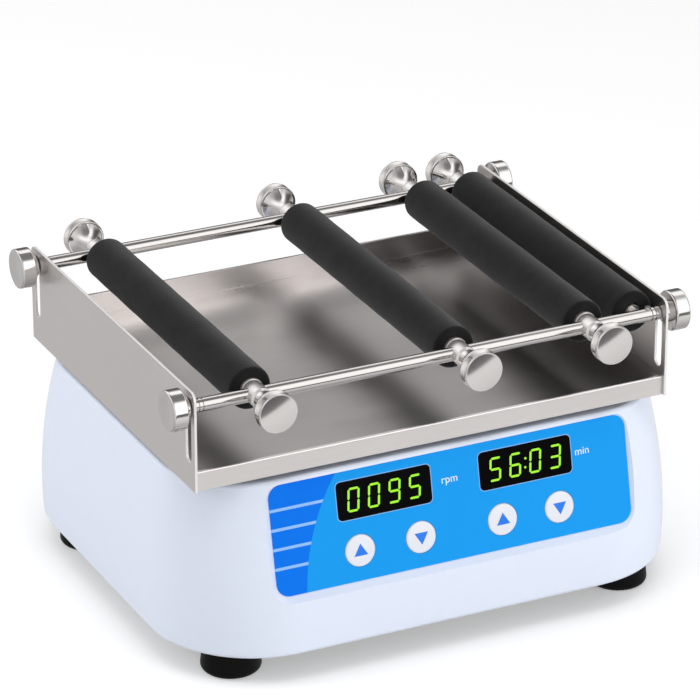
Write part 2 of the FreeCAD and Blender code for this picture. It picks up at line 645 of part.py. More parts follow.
def make_rear():
    x = drive_x + S.socket_right
    rim_width = S.socket_width + 2 * S.socket_rim
    rim_height = S.socket_height + 2 * S.socket_rim
    flange = block("socket_rim", (rim_width, S.socket_flange, rim_height), x,
                   well_y + S.socket_flange / 2, belly_height - rim_height / 2)
    barrel = block("socket_barrel", (S.socket_width, S.socket_depth, S.socket_height), x,
                   well_y - S.socket_depth / 2, belly_height - S.socket_height / 2)
    mouth_depth = S.socket_depth + S.socket_flange - S.socket_floor
    mouth = block("socket_mouth", (S.socket_width - 2 * S.socket_wall, mouth_depth + S.overrun,
                                   S.socket_height - 2 * S.socket_wall), x,
                  well_y + S.socket_flange - mouth_depth / 2 + S.overrun / 2,
                  belly_height - S.socket_height / 2 + S.socket_wall)
    shell = without("socket_shell", joined("socket_solid", [flange, barrel]), mouth)
    floor_y = well_y + S.socket_flange - mouth_depth
    contacts = []
    rise = S.contact_pitch * CONTACT_RISE_SHARE
    for index, (across, up) in enumerate(((-1, -rise), (0, rise), (1, -rise))):
        contacts.append(block("contact_%d" % index, (S.contact_thickness, S.contact_length, S.contact_width),
                              x + across * S.contact_pitch, floor_y + S.contact_length / 2,
                              belly_height + up - S.contact_width / 2))
    keep(joined("socket_body", [shell] + contacts), "mains_inlet")
    x = drive_x - S.switch_left
    rim_width = S.switch_width + 2 * S.switch_rim
    rim_height = S.switch_height + 2 * S.switch_rim
    flange = block("switch_rim", (rim_width, S.switch_flange, rim_height), x,
                   well_y + S.switch_flange / 2, belly_height - rim_height / 2)
    barrel = block("switch_barrel", (S.switch_width, S.switch_depth, S.switch_height), x,
                   well_y - S.switch_depth / 2, belly_height - S.switch_height / 2)
    mouth_depth = S.switch_depth + S.switch_flange - S.switch_floor
    mouth = block("switch_mouth", (S.switch_width - 2 * S.switch_wall, mouth_depth + S.overrun,
                                   S.switch_height - 2 * S.switch_wall), x,
                  well_y + S.switch_flange - mouth_depth / 2 + S.overrun / 2,
                  belly_height - S.switch_height / 2 + S.switch_wall)
    keep(without("switch_frame", joined("switch_solid", [flange, barrel]), mouth), "power_switch")
    half = S.switch_height / 2 - S.switch_wall - S.move_gap
    front = S.rocker_proud
    profile = [(-half, 0), (0, -half, half), (half, 0, half), (half - front / 2, front),
               (0, S.rocker_dip), (-half + front / 2, front)]
    rocker = slab("rocker_body", profile, S.switch_width - 2 * (S.switch_wall + S.move_gap),
                  x - S.switch_width / 2 + S.switch_wall + S.move_gap, well_y + S.switch_flange,
                  belly_height, ROCKER_TILT.multiply(ROCKER_TURN))
    keep(rocker, "switch_rocker")


def bearing(name, bore, radius, width, x, y, z):
    """A shielded ball bearing as one ring with a shallow step between its races."""
    inner = bore + S.bearing_race
    outer = radius - S.bearing_race
    dip = S.bearing_shield_dip
    profile = [(bore, 0), (inner, 0), (inner, dip), (outer, dip), (outer, 0), (radius, 0),
               (radius, width), (outer, width), (outer, width - dip), (inner, width - dip),
               (inner, width), (bore, width)]
    return turned(name, profile, x, y, z)


def make_drive():
    deck = rounded_slab("deck_sheet", deck_width, deck_depth, S.deck_corner, S.deck_thickness,
                        drive_x, drive_y, deck_bottom)
    through = S.deck_thickness + 2 * S.overrun
    holes = [rod("deck_shaft_hole", S.shaft_bearing_radius, through, drive_x, drive_y,
                 deck_bottom - S.overrun)]
    bearings = [bearing("deck_bearing", S.shaft_radius, S.shaft_bearing_radius, S.shaft_bearing_width,
                        drive_x, drive_y, deck_top - S.shaft_bearing_width)]
    pillars = []
    for index, (side, end) in enumerate(CORNERS):
        x = drive_x + side * idler_right
        y = drive_y + end * idler_back
        holes.append(rod("deck_idler_hole_%d" % index, S.idler_bearing_radius, through, x, y,
                         deck_bottom - S.overrun))
        bearings.append(bearing("idler_bearing_%d" % index, S.idler_pin_radius, S.idler_bearing_radius,
                                S.idler_bearing_width, x, y, deck_top - S.idler_bearing_width))
        pillars.append(rod("pillar_%d" % index, S.pillar_radius, deck_bottom - floor_top,
                           drive_x + side * pillar_right, drive_y + end * pillar_back, floor_top))
    keep(without("deck_body", deck, joined("deck_holes", holes)), "bearing_deck")
    keep(group("pillar_group", pillars), "deck_pillars")
    block_top = floor_top + S.shaft_block_height
    shaft_bottom = block_top - S.shaft_bearing_width + S.shaft_end_gap
    seat = S.shaft_bearing_radius
    profile = [(0, 0), (S.shaft_block_radius, 0), (S.shaft_block_radius, S.shaft_block_height),
               (seat, S.shaft_block_height), (seat, S.shaft_block_height - S.shaft_bearing_width),
               (0, S.shaft_block_height - S.shaft_bearing_width)]
    keep(turned("shaft_block_body", profile, drive_x, drive_y, floor_top), "shaft_block")
    bearings.append(bearing("foot_bearing", S.shaft_radius, S.shaft_bearing_radius,
                            S.shaft_bearing_width, drive_x, drive_y, block_top - S.shaft_bearing_width))
    keep(group("bearing_group", bearings), "deck_bearings")
    journal = S.shaft_radius - S.run_gap
    disc_low = deck_top + S.crank_disc_lift
    pin_top = carrier_low + S.carrier_thickness - S.seat_gap
    shaft = rod("shaft_journal", journal, disc_low - shaft_bottom, drive_x, drive_y, shaft_bottom)
    disc = rod("crank_disc", S.crank_disc_radius, S.crank_disc_thickness, drive_x, drive_y, disc_low)
    pin = rod("crank_pin", journal, pin_top - disc_low, tray_x, tray_y, disc_low)
    keep(joined("crank_body", [shaft, disc, pin]), "main_crank")
    small = S.idler_pin_radius - S.run_gap
    for index, (side, end) in enumerate(CORNERS):
        x = drive_x + side * idler_right
        y = drive_y + end * idler_back
        low = deck_top - S.idler_bearing_width
        stub = rod("idler_journal_%d" % index, small, disc_low - low, x, y, low)
        wheel = rod("idler_disc_%d" % index, S.idler_disc_radius, S.crank_disc_thickness, x, y, disc_low)
        peg = rod("idler_pin_%d" % index, small, pin_top - disc_low, x - S.orbit_left,
                  y - S.orbit_front, disc_low)
        keep(joined("idler_%d" % index, [stub, wheel, peg]), "idler_crank_%d" % (index + 1))
    make_pulleys()


def pulley_profile(radius, bore, hub_radius=None, hub_rise=None):
    height = S.pulley_height
    groove = radius - S.pulley_groove_depth
    low = S.pulley_flange
    high = height - S.pulley_flange
    rim = [(bore, 0), (radius, 0), (radius, low), (groove, low), (groove, high), (radius, high),
           (radius, height)]
    if hub_rise:
        return rim + [(hub_radius, height), (hub_radius, height + hub_rise), (bore, height + hub_rise)]
    return rim + [(bore, height)]


def make_pulleys():
    low = drive_pulley_bottom
    journal = S.shaft_radius - S.run_gap
    keep(turned("drive_pulley_body", pulley_profile(S.drive_pulley_radius, journal, S.pulley_hub_radius,
                                                    S.pulley_hub_rise), drive_x, drive_y, low),
         "drive_pulley")
    weight_low = deck_bottom - S.counterweight_drop - S.counterweight_thickness
    disc = rod("weight_disc", S.counterweight_radius, S.counterweight_thickness)
    away = FreeCAD.Rotation(FreeCAD.Vector(0, 0, 1), math.degrees(math.atan2(SIZES["orbit_front"],
                                                                              SIZES["orbit_left"])))
    span = S.counterweight_radius + S.overrun
    near_half = block("weight_far_side", (span, 2 * span, S.counterweight_thickness + 2 * S.overrun),
                      -span / 2, 0, -S.overrun)
    hub = rod("weight_hub", S.counterweight_hub_radius, S.counterweight_thickness)
    bore = rod("weight_bore", journal, S.counterweight_thickness + 2 * S.overrun, 0, 0, -S.overrun)
    sector = joined("weight_solid", [without("weight_half", disc, near_half), hub])
    weight = without("weight_body", sector, bore)
    keep(place(weight, drive_x, drive_y, weight_low, away), "counterweight")
    motor_x = drive_x - S.motor_left
    bracket = rounded_slab("bracket_sheet", S.bracket_width, S.bracket_depth, S.panel_corner,
                           S.bracket_thickness, motor_x, drive_y, motor_top)
    keep(bracket, "motor_bracket")
    can = rod("motor_can", S.motor_radius, motor_length, motor_x, drive_y, motor_top - motor_length)
    nose = rod("motor_nose", S.motor_boss_radius, S.motor_boss_height + S.overrun, motor_x, drive_y,
               motor_nose_low)
    socket = rod("motor_bore", S.motor_shaft_radius + S.run_gap, S.motor_boss_height + motor_length / 2,
                 motor_x, drive_y, motor_nose_low - S.overrun)
    keep(without("motor_body", joined("motor_solid", [can, nose]), socket), "motor")
    small = turned("small_pulley", pulley_profile(S.motor_pulley_radius, S.motor_shaft_radius),
                   motor_x, drive_y, low)
    reach = S.pulley_height + motor_length / 4 + S.motor_shaft_tail
    spindle = rod("motor_spindle", S.motor_shaft_radius, reach, motor_x, drive_y, low - S.motor_shaft_tail)
    keep(joined("motor_pulley_body", [small, spindle]), "motor_pulley")
    make_belt(motor_x)
    make_supply()


def make_supply():
    """The power supply stands on four stubs, to the right of the drive pulley."""
    x = drive_x + S.drive_pulley_radius + S.supply_gap + S.supply_width / 2
    board_top = floor_top + S.supply_foot + S.supply_board
    board = block("supply_board_sheet", (S.supply_width, S.supply_length, S.supply_board), x, drive_y,
                  floor_top + S.supply_foot)
    lump = block("supply_transformer", (S.supply_width - 2 * S.supply_inset, S.supply_length / 2,
                                        S.supply_height - S.supply_foot - S.supply_board),
                 x, drive_y - S.supply_length / 4 + S.supply_inset, board_top)
    capacitor = rod("supply_capacitor", S.supply_height / 4, S.supply_height * CAPACITOR_HEIGHT_SHARE,
                    x, drive_y + S.supply_length / 4, board_top)
    feet = [block("supply_foot_%d" % index, (S.supply_foot * 2, S.supply_foot * 2, S.supply_foot),
                  x + side * (S.supply_width / 2 - S.supply_foot),
                  drive_y + end * (S.supply_length / 2 - S.supply_foot), floor_top)
            for index, (side, end) in enumerate(CORNERS)]
    keep(joined("supply_body", [board, lump, capacitor] + feet), "power_supply")


def belt_loop(small, large, span, height):
    """The flat loop round two wheels: two arcs and the two straight runs that touch both."""
    slope = math.asin((large - small) / span)
    tangent = FreeCAD.Vector(-math.sin(slope), math.cos(slope), 0)
    far = FreeCAD.Vector(span, 0, 0)
    mirror = FreeCAD.Vector(tangent.x, -tangent.y, 0)
    left_arc = Part.Arc(mirror * small, FreeCAD.Vector(-small, 0, 0), tangent * small)
    right_arc = Part.Arc(far + tangent * large, far + FreeCAD.Vector(large, 0, 0), far + mirror * large)
    top_run = Part.LineSegment(tangent * small, far + tangent * large)
    low_run = Part.LineSegment(far + mirror * large, mirror * small)
    wire = Part.Wire([left_arc.toShape(), top_run.toShape(), right_arc.toShape(), low_run.toShape()])
    return Part.Face(wire).extrude(FreeCAD.Vector(0, 0, height))


def make_belt(motor_x):
    """The belt lies in both grooves. Its loop reads its sizes from the sheet's cells."""
    groove = sheet.get("pulley_groove_depth") - sheet.get("belt_gap")
    small = sheet.get("motor_pulley_radius") - groove
    large = sheet.get("drive_pulley_radius") - groove
    thick = sheet.get("belt_thickness")
    span = sheet.get("motor_left")
    height = sheet.get("belt_width")
    outer = belt_loop(small + thick, large + thick, span, height)
    belt = doc.addObject("Part::Feature", "belt_body")
    belt.Shape = outer.cut(belt_loop(small, large, span, height))
    place(belt, motor_x, drive_y, drive_pulley_bottom + (S.pulley_height - S.belt_width) / 2)
    keep(belt, "drive_belt")


def make_carrier():
    low = carrier_low
    high = low + S.carrier_thickness
    plate = rounded_slab("carrier_sheet", carrier_width, carrier_depth, S.carrier_corner,
                         S.carrier_thickness, tray_x, tray_y, low)
    drop = S.shaft_bearing_width - S.carrier_thickness
    boss = rod("carrier_boss", S.carrier_boss_radius, S.shaft_bearing_width, tray_x, tray_y, low - drop)
    holes = [rod("carrier_shaft_hole", S.shaft_bearing_radius, S.shaft_bearing_width + 2 * S.overrun,
                 tray_x, tray_y, low - drop - S.overrun)]
    bearings = [bearing("carrier_shaft_bearing", S.shaft_radius, S.shaft_bearing_radius,
                        S.shaft_bearing_width, tray_x, tray_y, low - drop)]
    screws = []
    for index, (side, end) in enumerate(CORNERS):
        x = tray_x + side * idler_right
        y = tray_y + end * idler_back
        holes.append(rod("carrier_idler_hole_%d" % index, S.idler_bearing_radius,
                         S.carrier_thickness + 2 * S.overrun, x, y, low - S.overrun))
        bearings.append(bearing("carrier_idler_bearing_%d" % index, S.idler_pin_radius,
                                S.idler_bearing_radius, S.idler_bearing_width, x, y,
                                high - S.idler_bearing_width))
        x = tray_x + side * S.platform_screw_right
        y = tray_y + end * S.platform_screw_back
        holes.append(rod("carrier_screw_hole_%d" % index, S.platform_screw_radius,
                         S.carrier_thickness + 2 * S.overrun, x, y, low - S.overrun))
        screws.append(turned("platform_screw_%d" % index, screw_profile(), x, y, low))
    keep(without("carrier_body", joined("carrier_solid", [plate, boss]), joined("carrier_holes", holes)),
         "carrier_plate")
    keep(group("carrier_bearing_group", bearings), "carrier_bearings")
    keep(group("platform_screw_group", screws), "platform_screws")


def screw_profile():
    """A countersunk screw from the carrier's underside to the platform's top face."""
    shank = S.platform_screw_radius
    head = S.platform_screw_head_radius
    top = S.carrier_thickness + S.sheet_thickness
    return [(0, 0), (shank, 0), (shank, top - S.sheet_thickness), (head, top), (0, top)]


def make_tray():
    sheet_t = S.sheet_thickness
    front = -tray_depth / 2 + S.lip_setback
    back = tray_depth / 2 - S.upstand_setback
    top = platform_height
    low = tray_bottom
    wall_top = top + S.upstand_height
    hem = S.upstand_hem
    profile = [(front, low), (front + sheet_t, low), (front + sheet_t, top - sheet_t),
               (back, top - sheet_t), (back, wall_top), (back - sheet_t, wall_top),
               (back - sheet_t, top), (front + sheet_t, top), (front, top - sheet_t, sheet_t)]
    inside = tray_width - 2 * S.plate_thickness
    deck = slab("platform_sheet", profile, inside, tray_x - inside / 2, tray_y, 0, SIDEWAYS)
    fold = slab("platform_hem", [(back, wall_top - hem), (back + sheet_t, wall_top - hem),
                                 (back + sheet_t, wall_top - sheet_t), (back, wall_top, sheet_t)],
                inside, tray_x - inside / 2, tray_y, 0, SIDEWAYS)
    flange_height = top - sheet_t - low
    flange_depth = back - front - sheet_t
    flanges = [block("side_flange_%d" % index, (sheet_t, flange_depth, flange_height),
                     tray_x + side * (inside / 2 - sheet_t / 2), tray_y + (front + sheet_t + back) / 2, low)
               for index, side in enumerate((-1, 1))]
    screws = []
    for index, (side, end) in enumerate(CORNERS):
        screws.append(turned("platform_sink_%d" % index, screw_profile(),
                             tray_x + side * S.platform_screw_right,
                             tray_y + end * S.platform_screw_back, carrier_low))
    keep(without("platform_body", joined("platform_solid", [deck, fold] + flanges),
                 group("platform_sinks", screws)), "platform")
    for name, side in (("left_side_plate", -1), ("right_side_plate", 1)):
        end = tray_depth / 2
        high = rod_height + S.plate_rise
        chamfer = S.plate_chamfer
        outline_points = [(-end, low), (end, low), (end, high - chamfer), (end - chamfer, high, chamfer),
                          (-end + chamfer, high), (-end, high - chamfer, chamfer)]
        x = tray_x + side * (tray_width / 2 - S.plate_thickness / 2) - S.plate_thickness / 2
        plate = slab(name + "_sheet", outline_points, S.plate_thickness, x, tray_y, 0, SIDEWAYS)
        slots = []
        for index, at in enumerate((-1, 1)):
            slots += slot_tools("%s_slot_%d" % (name, index), at, x)
        keep(without(name + "_body", plate, joined(name + "_slots", slots)), name)


def slot_tools(name, end, x):
    """A round-ended vertical slot: one block and two rods that cut through the plate."""
    radius = S.rod_neck_radius + S.slot_gap
    slot_low = platform_height + S.slot_floor_rise
    y = tray_y + end * rod_y
    through = S.plate_thickness + 2 * S.overrun
    start = x - S.overrun
    return [rod(name + "_top", radius, through, start, y, rod_height, ALONG_X),
            rod(name + "_low", radius, through, start, y, slot_low, ALONG_X),
            block(name + "_run", (through, 2 * radius, rod_height - slot_low), start + through / 2, y,
                  slot_low)]


def make_rods():
    half = tray_width / 2 - S.plate_thickness - S.rod_end_gap
    neck_end = tray_width / 2 + S.end_knob_boss + S.end_knob_bore - S.move_gap
    full = S.rod_radius
    groove = S.rod_radius - S.rod_groove_depth
    neck = S.rod_neck_radius
    first = half - S.rod_groove_pitch
    second = half - 2 * S.rod_groove_pitch
    width = S.rod_groove_width
    right_side = [(full, second - width), (groove, second - width), (groove, second), (full, second),
                  (full, first - width), (groove, first - width), (groove, first), (full, first),
                  (full, half), (neck, half), (neck, neck_end), (0, neck_end)]
    left_side = [(point[0], -point[1]) for point in reversed(right_side)]
    profile = left_side + right_side
    for name, end in (("front_rod", -1), ("rear_rod", 1)):
        y = tray_y + end * rod_y
        bar = turned(name + "_turned", profile, tray_x, y, rod_height, ALONG_X)
        if name == "front_rod":
            grub = rod("grub_screw", S.grub_radius, S.rod_radius + S.grub_rise, bar_x(3) + S.grub_inset,
                       y, rod_height)
            solid = joined(name + "_solid", [bar, grub])
            spigot = rod("spigot_hole", S.spigot_radius, S.rod_radius + S.overrun, bar_x(3),
                         y + S.rod_radius - S.spigot_reach, rod_height, ALONG_Y)
            keep(without(name + "_body", solid, spigot), name)
        else:
            keep(bar, name)
        for side_name, side, turn in (("left", -1, AGAINST_X), ("right", 1, ALONG_X)):
            end_name = "front" if end < 0 else "rear"
            keep(end_knob("%s_%s_knob" % (end_name, side_name), tray_x + side * tray_width / 2, y, turn),
                 "%s_%s_knob" % (end_name, side_name))


def end_knob(name, x, y, turn):
    """A clamping knob: a small boss next to the plate, a round head with eased edges, a dished face."""
    start = S.seat_gap
    boss = start + S.end_knob_boss
    length = boss + S.end_knob_length
    edge = S.knob_edge
    radius = S.end_knob_radius
    bore = S.rod_neck_radius + S.run_gap
    bore_end = S.end_knob_boss + S.end_knob_bore
    profile = [(0, bore_end), (bore, bore_end), (bore, start), (S.end_knob_boss_radius, start),
               (S.end_knob_boss_radius, boss), (radius - edge, boss), (radius, boss + edge, edge),
               (radius, length - edge), (radius - edge, length, edge),
               (radius - 2 * edge, length), (0, length - S.knob_dish)]
    return turned(name + "_turned", profile, x, y, rod_height, turn)


def bar_x(index):
    """The last bar lies beside the right plate, and the third is placed from it."""
    last = tray_width / 2 - S.plate_thickness - S.move_gap - S.foam_radius
    first = S.bar_one_inset - tray_width / 2
    return tray_x + [first, S.bar_two_right, last - S.bar_three_step, last][index]


def make_bars():
    half = rod_y - S.rod_radius - S.foam_end_gap
    for index in range(4):
        x = bar_x(index)
        number = index + 1
        round_r = S.foam_round
        core = S.core_radius
        sleeve = [(core, -half), (S.foam_radius - round_r, -half), (S.foam_radius, -half + round_r, round_r),
                  (S.foam_radius, half - round_r), (S.foam_radius - round_r, half, round_r), (core, half)]
        keep(turned("foam_%d" % number, sleeve, x, tray_y, rod_height, AGAINST_Y),
             "bar_%d_foam" % number)
        keep(bar_core(number, x, half), "bar_%d_core" % number)
        if number < 4:
            keep(thumb_knob("bar_%d_front_knob" % number, x, -1, AGAINST_Y), "bar_%d_front_knob" % number)
        keep(thumb_knob("bar_%d_rear_knob" % number, x, 1, ALONG_Y), "bar_%d_rear_knob" % number)


def bar_core(number, x, half):
    """The metal core: thin inside the foam, a stepped collar at each end, bored across for the rod.
    The core of the last bar ends in a spigot that sits in the back of the front rod instead."""
    core = S.core_radius
    collar = S.collar_radius
    step = collar + S.collar_step
    chamfer = S.collar_chamfer
    bore = S.thumb_shank_radius + S.run_gap
    bore_floor = rod_y - S.rod_radius
    rear = [(core, half), (step, half), (step, half + S.collar_step_length),
            (collar, half + S.collar_step_length), (collar, collar_end - chamfer),
            (collar - chamfer, collar_end), (bore, collar_end), (bore, bore_floor), (0, bore_floor)]
    if number == 4:
        tip = rod_y - S.rod_radius + S.spigot_reach
        front = [(0, -tip), (S.spigot_radius, -tip), (S.spigot_radius, -half), (core, -half)]
        holes = [1]
    else:
        front = [(point[0], -point[1]) for point in reversed(rear)]
        holes = [-1, 1]
    body = turned("core_%d" % number, front + rear, x, tray_y, rod_height, ALONG_Y)
    span = 2 * (S.collar_radius + S.overrun)
    tools = [rod("core_%d_cross_%d" % (number, index), S.rod_radius + S.run_gap, span, x - span / 2,
                 tray_y + end * rod_y, rod_height, ALONG_X) for index, end in enumerate(holes)]
    return without("core_%d_body" % number, body, joined("core_%d_holes" % number, tools))


def thumb_knob(name, x, end, turn):
    """A thumb screw: shank towards the rod, neck, cone, then a round head with eased edges."""
    start = collar_end + S.move_gap
    cone_end = start + S.thumb_cone
    length = cone_end + S.thumb_length
    tip = rod_y + S.rod_radius + S.move_gap
    edge = S.knob_edge
    radius = S.thumb_radius
    profile = [(0, tip), (S.thumb_shank_radius, tip), (S.thumb_shank_radius, start),
               (S.thumb_neck_radius, start), (S.thumb_neck_radius, start + edge),
               (S.thumb_cone_radius, cone_end, -2 * S.thumb_cone), (radius - edge, cone_end),
               (radius, cone_end + edge, edge), (radius, length - edge), (radius - edge, length, edge),
               (radius - 2 * edge, length), (0, length - S.knob_dish)]
    return turned(name + "_turned", profile, x, tray_y, rod_height, turn)


make_housing()
make_panel()
make_base()
make_rear()
make_drive()
make_carrier()
make_tray()
make_rods()
make_bars()
doc.recompute()

faults = []
for item in doc.Objects:
    if "Invalid" in item.State or "Error" in item.State:
        faults.append("%s: %s" % (item.Label, item.State))
for item in PARTS:
    if item.Shape.isNull() or not item.Shape.isValid() or not item.Shape.Solids:
        faults.append("%s has no valid solid" % item.Label)
if faults:
    raise RuntimeError("; ".join(faults))
if len(set(item.Label for item in PARTS)) != len(PARTS):
    raise RuntimeError("two nodes share a name")
for item in PARTS:
    item.Shape.exportStep("parts/%s.step" % item.Label)
print("%d nodes written, panel tilt %.2f degrees, tray centre %.3f, %.3f"
      % (len(PARTS), panel_tilt, tray_x.value, tray_y.value))
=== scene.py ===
# %% [markdown]
# # An open benchtop shaker
# A white moulded housing carries a stainless tray. Three padded bars slide along two rods, a fourth
# one stays beside the right plate, and thumb knobs clamp them. The solids come ready made, at their
# real size. This lesson gives them their finish, swaps a few of them for finer meshes, which are the
# foam sleeves, the knobs and the keys, and adds the print and the lit figures on the panel.

# %% Load the frame
import json
import math
import bpy
import numpy as np
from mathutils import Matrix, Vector


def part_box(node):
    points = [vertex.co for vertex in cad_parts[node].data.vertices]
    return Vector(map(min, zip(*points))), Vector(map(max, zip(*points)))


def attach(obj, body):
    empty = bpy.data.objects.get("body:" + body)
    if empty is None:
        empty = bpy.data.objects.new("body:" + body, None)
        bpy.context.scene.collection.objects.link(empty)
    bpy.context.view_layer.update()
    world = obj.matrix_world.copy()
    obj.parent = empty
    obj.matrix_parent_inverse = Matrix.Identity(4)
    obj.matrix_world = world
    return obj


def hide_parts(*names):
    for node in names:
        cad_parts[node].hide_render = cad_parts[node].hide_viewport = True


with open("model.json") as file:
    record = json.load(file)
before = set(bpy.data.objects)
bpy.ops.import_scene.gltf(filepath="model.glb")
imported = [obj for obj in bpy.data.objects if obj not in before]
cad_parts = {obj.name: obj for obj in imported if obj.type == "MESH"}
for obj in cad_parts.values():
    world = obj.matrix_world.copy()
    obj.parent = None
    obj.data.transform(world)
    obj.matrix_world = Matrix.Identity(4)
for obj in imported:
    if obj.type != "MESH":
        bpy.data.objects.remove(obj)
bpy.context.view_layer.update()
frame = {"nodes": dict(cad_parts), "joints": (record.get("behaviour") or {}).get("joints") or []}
NODES = frame["nodes"]
JOINTS = {joint["name"]: joint for joint in frame["joints"]}
MM = 0.001

# %% [markdown]
# ## The camera
# The photograph was taken from far away with a long lens, a little above the tray and from its left.
# A camera in Blender looks along its own -Z, so a pitch of 90 degrees would look at the horizon. The
# place and the angles were found by fitting the tray's corners to the picture.

# %% Camera
CAMERA_PLACE = Vector((-0.91972, -1.90346, 1.06939))
CAMERA_YAW = math.radians(-25.81)
CAMERA_PITCH = math.radians(90 - 24.26)
LENS = 231.4

camera_data = bpy.data.cameras.new("photo_camera")
camera_data.lens = LENS
camera_data.sensor_width = 36
camera = bpy.data.objects.new("photo_camera", camera_data)
camera.location = CAMERA_PLACE
camera.rotation_euler = (CAMERA_PITCH, 0, CAMERA_YAW)
bpy.context.scene.collection.objects.link(camera)
bpy.context.scene.camera = camera
print("camera at", [round(c, 3) for c in CAMERA_PLACE])

# %% [markdown]
# ## Meshes from arrays
# Every new piece here is a surface that numpy works out in one go: a table of points with rows and
# columns. Neighbouring rows and columns are then joined by four-sided faces. A turned piece, such as
# a knob, is a profile that is carried once round its axis. This is a good way when the shape has a
# formula, because a change of one number gives a new clean mesh.

# %% Helpers for grids and turned pieces
def grid_faces(rows, columns, close_rows=False):
    """Quads between neighbouring rows and columns of a table of points, as an array of indices. The
    last column joins the first one, and the last row does where close_rows is set."""
    index = np.arange(rows * columns).reshape(rows, columns)
    index = np.hstack([index, index[:, :1]])
    if close_rows:
        index = np.vstack([index, index[:1]])
    quads = np.stack([index[:-1, :-1], index[:-1, 1:], index[1:, 1:], index[1:, :-1]], axis=2)
    return quads.reshape(-1, 4)


def carried_round(profile, turns, ripple=None):
    """A profile of (radius, height) carried round: x = radius cos a, y = radius sin a, z = height.
    ripple(radius, height, angle) adds to the radius."""
    angle = np.linspace(0, 2 * math.pi, turns, endpoint=False)
    radius = np.repeat(profile[:, :1], turns, axis=1)
    height = np.repeat(profile[:, 1:], turns, axis=1)
    around = np.repeat(angle[None, :], len(profile), axis=0)
    if ripple is not None:
        radius = radius + ripple(radius, height, around)
    table = np.stack([radius * np.cos(around), radius * np.sin(around), height], axis=2)
    return table.reshape(-1, 3)


def lathe(profile, turns, ripple=None):
    """A solid turned piece. The profile's first and last points lie on the axis, and each becomes one
    vertex with a fan of triangles."""
    profile = np.asarray(profile, float)
    ring = profile[1:-1]
    poles = [[0, 0, profile[0, 1]], [0, 0, profile[-1, 1]]]
    points = np.vstack([carried_round(ring, turns, ripple), poles])
    low_pole, high_pole = len(points) - 2, len(points) - 1
    here = np.arange(turns)
    following = np.roll(here, -1)
    top = (len(ring) - 1) * turns
    low_fan = np.stack([np.full(turns, low_pole), following, here], axis=1)
    high_fan = np.stack([np.full(turns, high_pole), here + top, following + top], axis=1)
    faces = grid_faces(len(ring), turns).tolist() + low_fan.tolist() + high_fan.tolist()
    return points, faces


def ring_lathe(profile, turns, ripple=None):
    """Like lathe, for a closed profile that doesn't touch the axis, such as a sleeve."""
    profile = np.asarray(profile, float)
    faces = grid_faces(len(profile), turns, close_rows=True).tolist()
    return carried_round(profile, turns, ripple), faces


print("turning helpers ready")

# %% [markdown]
# The profile of a turned piece is easiest to write as a short list of corners. No real corner is
# sharp, so each may have a radius, and this helper puts an arc of that radius there.

# %% Helper for eased profiles
def eased(corners, steps=4):
    """A profile whose corners are arcs. A corner is (radius, height, round): each arc touches both of
    its sides, and its centre lies on the line that halves the corner."""
    spots = np.array([corner[:2] for corner in corners], float)
    path = []
    for number, corner in enumerate(corners):
        bend = corner[2] if len(corner) > 2 else 0
        if bend == 0 or number in (0, len(corners) - 1):
            path.append(spots[number][None, :])
            continue
        into = spots[number - 1] - spots[number]
        out = spots[number + 1] - spots[number]
        into, out = into / np.linalg.norm(into), out / np.linalg.norm(out)
        half = math.acos(np.clip(into @ out, -1, 1)) / 2
        reach = bend / math.tan(half)
        start, end = spots[number] + into * reach, spots[number] + out * reach
        share = np.linspace(0, 1, steps + 1)[:, None]
        chord = start * (1 - share) + end * share
        centre = spots[number] + (into + out) / np.linalg.norm(into + out) * bend / math.sin(half)
        away = chord - centre
        path.append(centre + away / np.linalg.norm(away, axis=1)[:, None] * bend)
    return np.vstack(path)


print("profile helper ready")

# %% [markdown]
# Every new mesh becomes an object in the same way: smooth faces with the sharp edges kept, one
# material and the body that carries it. Its place is in its points, so the object itself stays at the
# origin, as the solids do.

# %% Helpers for pieces
def turn_to(points, origin, axis, side):
    """Lays points so that their +Z runs along axis and their +X along side, from origin, all in mm."""
    axis, side = np.array(axis, float), np.array(side, float)
    basis = np.stack([side, np.cross(axis, side), axis])
    return points @ basis + np.array(origin, float)


def add_object(name, data):
    """A new object, put into the scene."""
    thing = bpy.data.objects.new(name, data)
    bpy.context.scene.collection.objects.link(thing)
    return thing


def piece(name, points, faces, material, body, sharp=40):
    """A mesh object from points in mm. It rides on a body and takes one material."""
    mesh = bpy.data.meshes.new(name)
    mesh.from_pydata((np.asarray(points) * MM).tolist(), [], faces)
    mesh.polygons.foreach_set("use_smooth", np.ones(len(mesh.polygons), bool))
    mesh.set_sharp_from_angle(angle=math.radians(sharp))
    mesh.materials.append(material)
    mesh.validate()
    thing = add_object(name, mesh)
    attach(thing, body)
    return thing


def box_mm(node):
    """A node's lowest and highest corners in mm, as arrays."""
    low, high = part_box(node)
    return np.array(low) / MM, np.array(high) / MM


print("piece helpers ready")

# %% [markdown]
# ## Surface effects as node groups
# Three effects return in many materials: fine grain, brushed streaks and faint smudges. Each is built
# once as a node group with named sockets, so that a material only sets its own values. All of them
# read Object coordinates, in metres, so a pattern keeps its size and sticks to its piece.

# %% Node group helpers
def new_group(name, inputs, outputs):
    """An empty shader node group. inputs gives each socket's start value, a number or a vector, and
    every output is a number. It gives back the group and, seen from inside, both rows of sockets."""
    group = bpy.data.node_groups.new(name, "ShaderNodeTree")
    for label, start in inputs.items():
        kind = "NodeSocketFloat" if isinstance(start, float) else "NodeSocketVector"
        group.interface.new_socket(name=label, in_out="INPUT", socket_type=kind).default_value = start
    for label in outputs:
        group.interface.new_socket(name=label, in_out="OUTPUT", socket_type="NodeSocketFloat")
    given, gives = group.nodes.new("NodeGroupInput"), group.nodes.new("NodeGroupOutput")
    return group, given.outputs, gives.inputs


